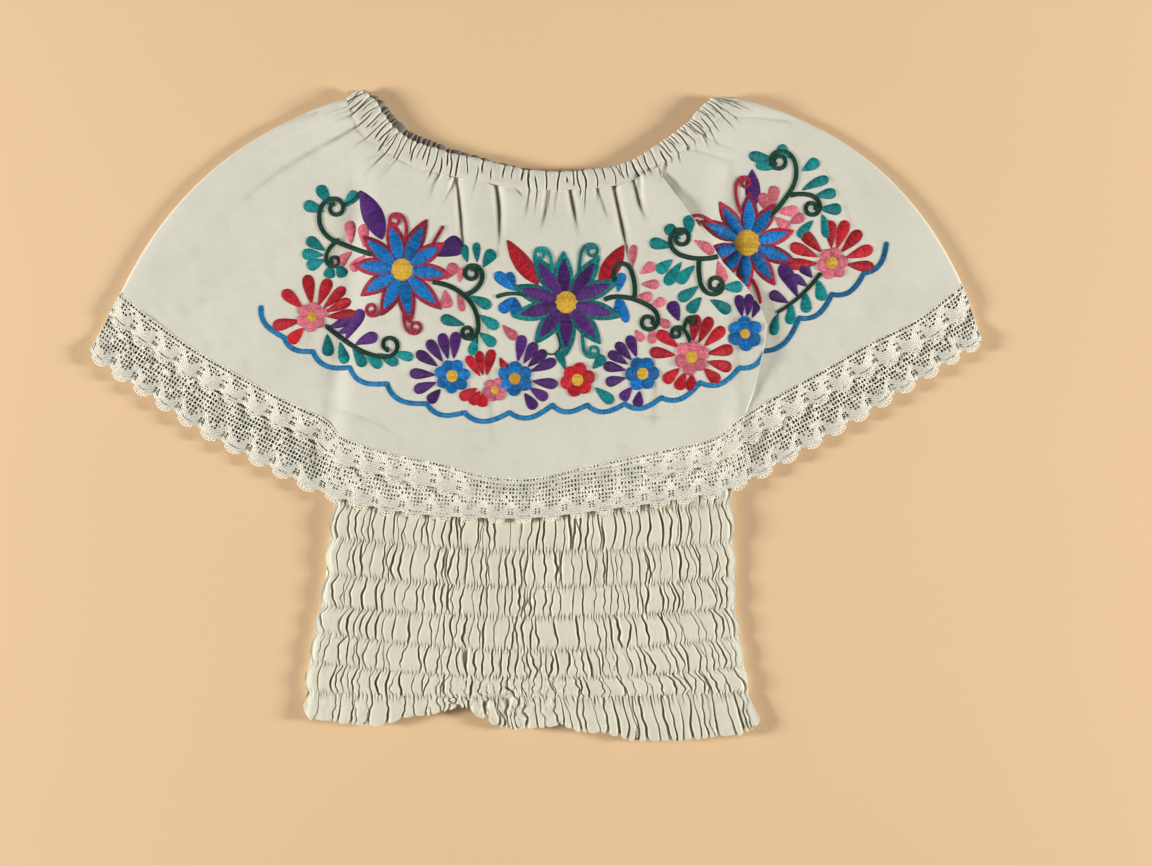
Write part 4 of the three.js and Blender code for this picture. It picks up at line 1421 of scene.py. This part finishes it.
def leaves(colour, rows, under=False):
    """Leaves from a list of x, y, turn, length and width."""
    for row in rows:
        leaf(colour, *row, under)


def blade(colour, x, y, turn, length, width, under=False, lift=0.0, bend=0.0):
    """A leaf or petal that is pointed at both ends."""
    f, spine = spine_of(x, y, turn, length, bend)
    satin(colour, spine, 0.2 + width / 2 * np.sin(math.pi * f ** 0.9) ** 0.85, under, lift)


def fan(colour, x, y, turns, start, length, width, under=False):
    """Leaves that spread from a flower's middle in the given directions, no wider than they may."""
    widest = start + 0.72 * length
    for turn in turns:
        at = math.radians(turn)
        room = min([abs((turn - other + 180) % 360 - 180) for other in turns if other != turn] + [90])
        wide = min(width, 1.9 * widest * math.sin(math.radians(room) / 2))
        long = length * stitch_rng.uniform(0.92, 1.06) * (1 - 0.36 * max(0, -math.sin(at)))
        leaf(colour, x + start * math.cos(at), y + start * math.sin(at), turn, long, wide, under, 0.0)


# %% Stems and curls
def vine(colour, x, y, turn, arcs, width, under=False):
    """A stem. Each arc is its length, how far it turns, and how much tighter it winds at its end."""
    points = [(x, y)]
    heading = math.radians(turn)
    for length, bend, *tighter in arcs:
        end = tighter[0] if tighter else 1.0
        count = max(2, round(length / STITCH))
        for k in range(count):
            grown = mix(1.0, end, (k + 0.5) / count) / ((1 + end) / 2)
            heading += math.radians(bend) / count * grown
            step, (px, py) = length / count, points[-1]
            points.append((px + step * math.cos(heading), py + step * math.sin(heading)))
    half = width / 2 * mix(1.0, 0.85, np.linspace(0, 1, len(points)))
    half[0] *= 0.6
    if abs(arcs[-1][1]) > 200:
        half[-3:] *= 1.35
    half[-1] *= 0.5
    satin(colour, points, half, under, 0.32)


def vines(colour, rows, width, under=False):
    """Stems from a list of x, y, turn and the arcs of each."""
    for x, y, turn, *arcs in rows:
        vine(colour, x, y, turn, arcs, width, under)


# %% Flowers
ROSETTE_FOOT = 1.5                  # how far from the middle a rosette's petals start
STAR_FOOT = 0.7                     # the same for a star, as a share of its heart
OUTLINE_WIDTH, PETAL_WIDTH, PETAL_LENGTH = 0.335, 0.235, 0.82


def disc(colour, x, y, radius, under=False, lift=0.0):
    """A round heart filled with short stitches."""
    f = np.linspace(-1, 1, max(6, round(2 * radius / STITCH)))
    spine = np.column_stack([np.full_like(f, x), y + radius * np.sin(f * math.pi / 2)])
    satin(colour, spine, radius * np.cos(f * math.pi / 2) + 0.2, under, lift)


def rosette(colour, x, y, radius, petals, turn, heart, under=False):
    """A small flower of round petals with a notch between each two."""
    for k in range(petals):
        angle = turn + 360 * k / petals + stitch_rng.uniform(-5, 5)
        at = math.radians(angle)
        foot = (x + ROSETTE_FOOT * math.cos(at), y + ROSETTE_FOOT * math.sin(at))
        f, spine = spine_of(*foot, angle, (radius - ROSETTE_FOOT) * stitch_rng.uniform(0.94, 1.08))
        wide = 1.5 * radius * math.sin(math.pi / petals)
        half = 0.3 + wide / 2 * np.sin(math.pi * f ** 1.35) ** 0.62
        satin(colour, spine, half, under, 0.40 + 0.1 * (k % 2))
    disc("yellow", x, y, heart, under, 0.80)


def star(colour, outline, x, y, radius, petals, turn, heart, under=False):
    """A large flower with pointed petals, each outlined in another thread."""
    for k in range(petals):
        angle = turn + 360 * k / petals + stitch_rng.uniform(-4, 4)
        long = radius * stitch_rng.uniform(0.93, 1.08)
        at = math.radians(angle)
        start = heart * STAR_FOOT
        foot = (x + start * math.cos(at), y + start * math.sin(at))
        bend = stitch_rng.uniform(-12, 12)
        blade(outline, *foot, angle, long - start, radius * OUTLINE_WIDTH, under, 0.22, bend)
        blade(colour, *foot, angle, (long - start) * PETAL_LENGTH, radius * PETAL_WIDTH, under, 0.60, bend)
    disc("yellow", x, y, heart, under, 0.85)


# %% The garland, left of the tuck
STEM, FINE_STEM, CURL = 3.9, 3.3, 3.0
star("blue", "crimson", -108, 116, 42, 10, 101, 8.8)
vines("crimson", (
    (-107, 138, 62, (16, 40), (36, 450, 4.9)), (-123, 100, -82, (14, -20), (38, -470, 4.9)),
    (-106, 86, -100, (14, 20), (36, 450, 4.9)), (-86, 132, 62, (22, -4)),
), CURL)
blade("purple", -124, 140, 115, 44, 18, bend=14)
leaf("purple", -81, 127, 28, 24, 17)

vine("green", -132, 128, 162, ((34, -6), (30, -85), (49, -425, 4.2)), STEM)
vine("green", -159, 141, 208, ((16, 40), (34, 450, 4.6)), FINE_STEM)
vine("green", -155, 169, 20, ((17, 35),), 2.0)
fan("teal", -162, 160, (47, 119, 160), 9.5, 17, 9.8)
fan("teal", -165, 128, (146, 177, 206, 262, 300), 7, 18, 9.4)
for x, y in ((-150, 137), (-139, 134)):
    leaves("pink", ((x, y, 95, 19, 9.4), (x + 1, y - 6, 224, 17, 9.0)))

fan("red", -180, 78, (138, 98, 68, 44, 25, 5, 192, 226), 11, 23, 9.8)
rosette("pink", -181, 79, 12, 6, 20, 4.0)
vine("green", -170, 72, -42, ((30, 10), (24, 25), (42, 370, 3.8)), STEM)
leaves("purple", (
    (-168, 70, 24, 20, 8), (-161, 65, 23, 15, 6.5), (-154, 60, 60, 28, 11), (-146, 56, 20, 20, 9.6),
))
for k in range(6):
    down = -7.5 * k + 0.9 * k * k
    leaf("teal", -169 + 10.5 * k, 65 + down, -88 + 15 * k - 1.5 * (k == 5), 18, 9.6 - 0.3 * k)

# %% The garland's small flowers
vines("green", (
    (-84, 106, -3, (30, -40), (28, -50), (38, -470, 4.6)), (-57, 96, 18, (12, 30), (53, 505, 4.6)),
), STEM)
vine("green", -48, 69, -90, ((12, 0),), 1.6)
leaves("teal", (
    (-56, 122, 105, 15, 7), (-48, 122, 93, 16, 6.4), (-43, 118, 57, 16, 10), (-54, 95, -28, 19, 9),
    (-58, 72, 162, 20, 9), (-46, 80, -34, 18, 9), (-46, 66, -38, 16, 9), (-48, 63, -105, 16, 8),
))
leaves("pink", (
    (-73, 108, 58, 15, 9.6), (-62, 106, 80, 12, 5.6), (-74, 100, -82, 15, 9.6), (-64, 98, -76, 16, 5.6),
    (-28, 72, -43, 16, 8),
))

fan("purple", -68, 31, (104, 85, 124, 146, 176, 201, 228), 14, 21, 8.8)
rosette("blue", -68, 31, 14, 7, 10, 4.8)
fan("red", -42, 25, (122, 101, 78, 211, 236, 262), 7, 20, 9)
rosette("pink", -34, 20, 10, 6, 10, 3.2)
leaf("red", -30, 46, -61, 12, 6.4)
fan("purple", -18, 29, (80, 60, 42, 24, -8, -32, -56), 14, 21, 8.8)
rosette("blue", -18, 29, 14, 6, 30, 4.8)

# %% The garland's middle
star("purple", "teal", 23, 90, 44, 10, 90, 8.8)
vines("teal", (
    (12, 113, 92, (14, 10), (34, 450, 4.9)), (33, 113, 86, (16, -5), (38, -470, 4.9)),
    (36, 66, -92, (13, 10), (34, 450, 4.9)),
), CURL)
vine("green", 15, 66, -62, ((10, -20), (18, -150, 1.5)), 1.5)
blade("red", 1, 104, 125, 44, 14, bend=-8)
blade("red", 49, 105, 57, 37, 15, bend=10)
vine("green", -33, 94, 25, ((26, -45),), FINE_STEM)
leaves("blue", (
    (-16, 99, 139, 23, 9.6), (-18, 101, 115, 14, 7), (-19, 94, 230, 16, 9.6), (-18, 94, -83, 16, 10.4),
    (64, 98, 76, 16, 8), (66, 95, -77, 22, 7), (64, 95, -88, 17, 5.6),
))
rosette("red", 32, 28, 14, 6, 15, 4.8)
leaves("teal", ((22, 36, 114, 17, 6.8), (44, 37, 48, 14, 8.8), (46, 22, -39, 19, 9)))
vines("green", (
    (53, 92, 26, (14, -30), (26, -30), (49, -450, 4.6)), (77, 91, 78, (26, 35), (18, 150, 1.6), (10, 20)),
), STEM)
leaves("pink", (
    (76, 118, 87, 18, 6.4), (82, 113, 34, 14, 9), (83, 104, 0, 14, 8), (78, 93, 8, 14, 8.8),
    (90, 86, 27, 13, 8), (95, 78, -32, 13, 7.4), (78, 68, -56, 11, 7), (92, 70, -90, 13, 7),
))
fan("purple", 84, 33, (110, 130, 148, 168, 194, 231, 261), 14, 19, 8.6)
rosette("blue", 84, 33, 14, 6, 0, 4.8)

# %% The garland up to the tuck
vines("green", (
    (122, 57, 100, (10, 20), (30, 425, 4.9)), (117, 68, 85, (6, -10), (23, -405, 4.6)),
), FINE_STEM)
vines("green", (
    (146, 127, 200, (32, -40), (64, -540, 4.6)), (129, 126, -98, (20, 20), (59, 540, 4.6)),
), STEM)
for x, y, turn, length in (
    (108, 134, 168, 19), (114, 140, 133, 16), (120, 142, 90, 17), (108, 124, 218, 16), (115, 122, 236, 22),
    (125, 119, 227, 19), (128, 103, 214, 19), (131, 94, 232, 16), (138, 92, -32, 19), (148, 102, 4, 16),
):
    leaf("teal", x, y, turn, length, 9.6)
leaves("pink", ((125, 139, -32, 19, 9), (144, 123, -77, 18, 9.6)))
leaf("purple", 113, 75, 114, 17, 10.4)
fan("red", 123, 46, (84, 64, 42, 12, -15, -42, 143, 172, 222, 247, 270), 13, 22, 9.6)
rosette("pink", 123, 46, 14, 6, 20, 4.8)
fan("purple", 166, 65, (100, 83, 66), 14, 19, 8.4)
rosette("blue", 166, 65, 14, 6, 30, 4.0)

# %% The garland under the tuck
star("blue", "crimson", 168, 138, 40, 10, 88, 10.4, under=True)
vines("crimson", (
    (164, 161, 120, (24, -35), (32, -450, 4.6)), (146, 148, 128, (18, 30), (34, 370, 4.2)),
    (172, 109, -58, (21, -25)),
), CURL, True)
blade("purple", 173, 166, 92, 31, 12.5, True)
vines("green", (
    (180, 153, 42, (36, 15), (22, 45), (66, 580, 4.6)), (202, 176, 15, (16, -25), (47, -470, 4.2)),
), STEM, True)
leaves("teal", (
    (190, 204, 169, 21, 9), (191, 198, 166, 16.5, 8), (203, 206, 135, 14, 9), (212, 196, 35, 16, 9.6),
    (212, 180, 24, 24, 8.4), (222, 175, 10, 18, 9), (226, 166, 0, 18, 9.6), (228, 161, -75, 20, 9.6),
    (221, 156, 232, 18, 8.4),
), True)
leaves("pink", (
    (185, 162, 110, 17, 9.2), (189, 166, 87, 18, 9.2), (192, 163, 3, 17, 9.2), (190, 159, -38, 16, 9.2),
    (202, 154, 32, 13, 9.2),
), True)
fan("red", 236, 122, (92, 71, 48, 20, -6, 134, 157, 182), 12, 23, 9.8, True)
rosette("pink", 236, 122, 13, 6, 10, 4.8, True)
vine("green", 227, 114, -125, ((48, -25),), FINE_STEM, True)
leaves("purple", (
    (208, 95, 117, 29, 12), (216, 103, 148, 15, 8), (201, 90, 152, 17, 8.8), (220, 110, 132, 13.5, 8.8),
), True)
leaves("teal", [(224 - 10.3 * k, 109 - 9.2 * k, -78 - 8 * k, 18, 9.6 - 0.6 * k) for k in range(4)], True)

# %% The scalloped line under the garland
LINE_WIDTH, LINE_SAG = 4.2, 0.2
LINE_CUSPS = (
    ((-221, 88), (-203, 62), (-180, 51), (-150, 38), (-120, 25), (-88, 9), (-58, 2), (-22, 2), (12, 8),
     (40, 8), (70, 9), (99, 14), (130, 26), (162, 38), (184, 54)),
    ((178, 52), (210, 78), (236, 97), (262, 114), (280, 139)),
)


def scalloped_line(cusps, under):
    points = []
    for (x0, y0), (x1, y1) in zip(cusps, cusps[1:]):
        chord = math.hypot(x1 - x0, y1 - y0)
        for f in np.linspace(0, 1, round(chord / STITCH) + 1)[:-1]:
            sag = LINE_SAG * math.sin(math.pi * f ** 0.8)
            points.append((mix(x0, x1, f) + sag * (y1 - y0), mix(y0, y1, f) - sag * (x1 - x0)))
    points.append(cusps[-1])
    half = np.full(len(points), LINE_WIDTH / 2)
    half[0] = half[-1] = 1.0
    satin("sky", points, half, under)


scalloped_line(LINE_CUSPS[0], False)
scalloped_line(LINE_CUSPS[1], True)
print("patches of thread:", {name: len(rows) for name, rows in laid.items()})


# %% Dropping the threads onto the cloth
CLOTH_POINTS = FRONT_GRID.reshape(-1, 3)
CLOTH_FACES = quads(np.arange(len(CLOTH_POINTS)).reshape(FRONT_GRID.shape[:2]))
CLOTH_TREE = BVHTree.FromPolygons(CLOTH_POINTS.tolist(), CLOTH_FACES.tolist())
RAY_HEIGHT = 60


def drape(x, y, under):
    """Height of the front cloth, or of what the tuck covers."""
    hit = CLOTH_TREE.ray_cast(Vector((x, y, RAY_HEIGHT)), Vector((0, 0, -1)))[0]
    z = hit.z if hit is not None else CHEST_Z
    return z - float(tuck_height(np.array(x), np.array(y))) if under else z


def embroidery(colour):
    points, faces, uv, tones = [], [], [], []
    tone_rng = np.random.default_rng(131)
    for rows, under in laid[colour]:
        first = len(points)
        count, across = rows.shape[:2]
        # Each patch has a tone of its own, each row of thread in it another, and its ends are darker:
        # painted shade where the thread dips into the cloth.
        tone = tone_rng.uniform(-0.5, 0.5)
        for row in rows:
            own = tone + tone_rng.uniform(-0.45, 0.45)
            for x, y, high, side, run in row:
                points.append((x, y, drape(x, y, under) + high))
                uv.append((side, run))
                tones.append(own - 0.5 * abs(side) ** 3)
        at = first + np.arange(count * across).reshape(count, across)
        for k in range(count - 1):
            for m in range(across - 1):
                faces.append((at[k, m], at[k, m + 1], at[k + 1, m + 1], at[k + 1, m]))
            faces.append((at[k, 0], at[k + 1, 0], at[k + 1, -1], at[k, -1]))
        faces.append(tuple(at[0, ::-1]))
        faces.append(tuple(at[-1, :]))
    faces = [[int(p) for p in face][::-1] for face in faces]
    piece = new_piece("embroidery_" + colour, points, faces, FLOSS[colour], 55)
    store_thread(piece, np.array(uv))
    # The tone attribute: a random tone, with painted shade at the ends of the rows.
    store(piece, "tone", tones)
    return piece


EMBROIDERY = [embroidery(colour) for colour in THREADS]

# %% [markdown]
# ## The cut of the cloth
# Gathered cloth is cut wider than it lies. Each sheet is listed with the size of its flat panel
# before the elastic drew it in: the flounce and the bodice are each cut as a front and a back.

# %% Sheets
CUTS = [
    # piece, what it lies on, how it is held, width and length of its flat panel, its flat area
    (FLOUNCE_FRONT, [BODICE_FRONT, FLOUNCE_BACK], "gathered", (0.74, 0.22), 0.147),
    (FLOUNCE_BACK, [], "gathered", (0.74, 0.22), 0.147),
    (CASING_FRONT, [CASING_BACK], "gathered", (0.50, 0.018), None),
    (CASING_BACK, [], "gathered", (0.50, 0.018), None),
    (BODICE_FRONT, [BODICE_BACK], "gathered", (0.46, 0.43), 0.185),
    (BODICE_BACK, [FLOUNCE_BACK], "gathered", (0.46, 0.41), 0.165),
    (LACE_UPPER, [LACE_LOWER], "laid", (0.79, 0.021), None),
    (LACE_LOWER, [BODICE_FRONT, LACE_BACK], "laid", (0.79, 0.031), None),
    (LACE_BACK, [], "laid", (0.79, 0.0415), None),
]


def cloth_area(piece):
    """Half the surface of a closed wall: the area of its cloth, in square metres."""
    return sum(face.area for face in piece.data.polygons) / 2


for piece, under, held, flat, area in CUTS:
    print(f"{piece.name}: {cloth_area(piece):.4f} square metres, cut from {area or flat[0] * flat[1]:.4f}")
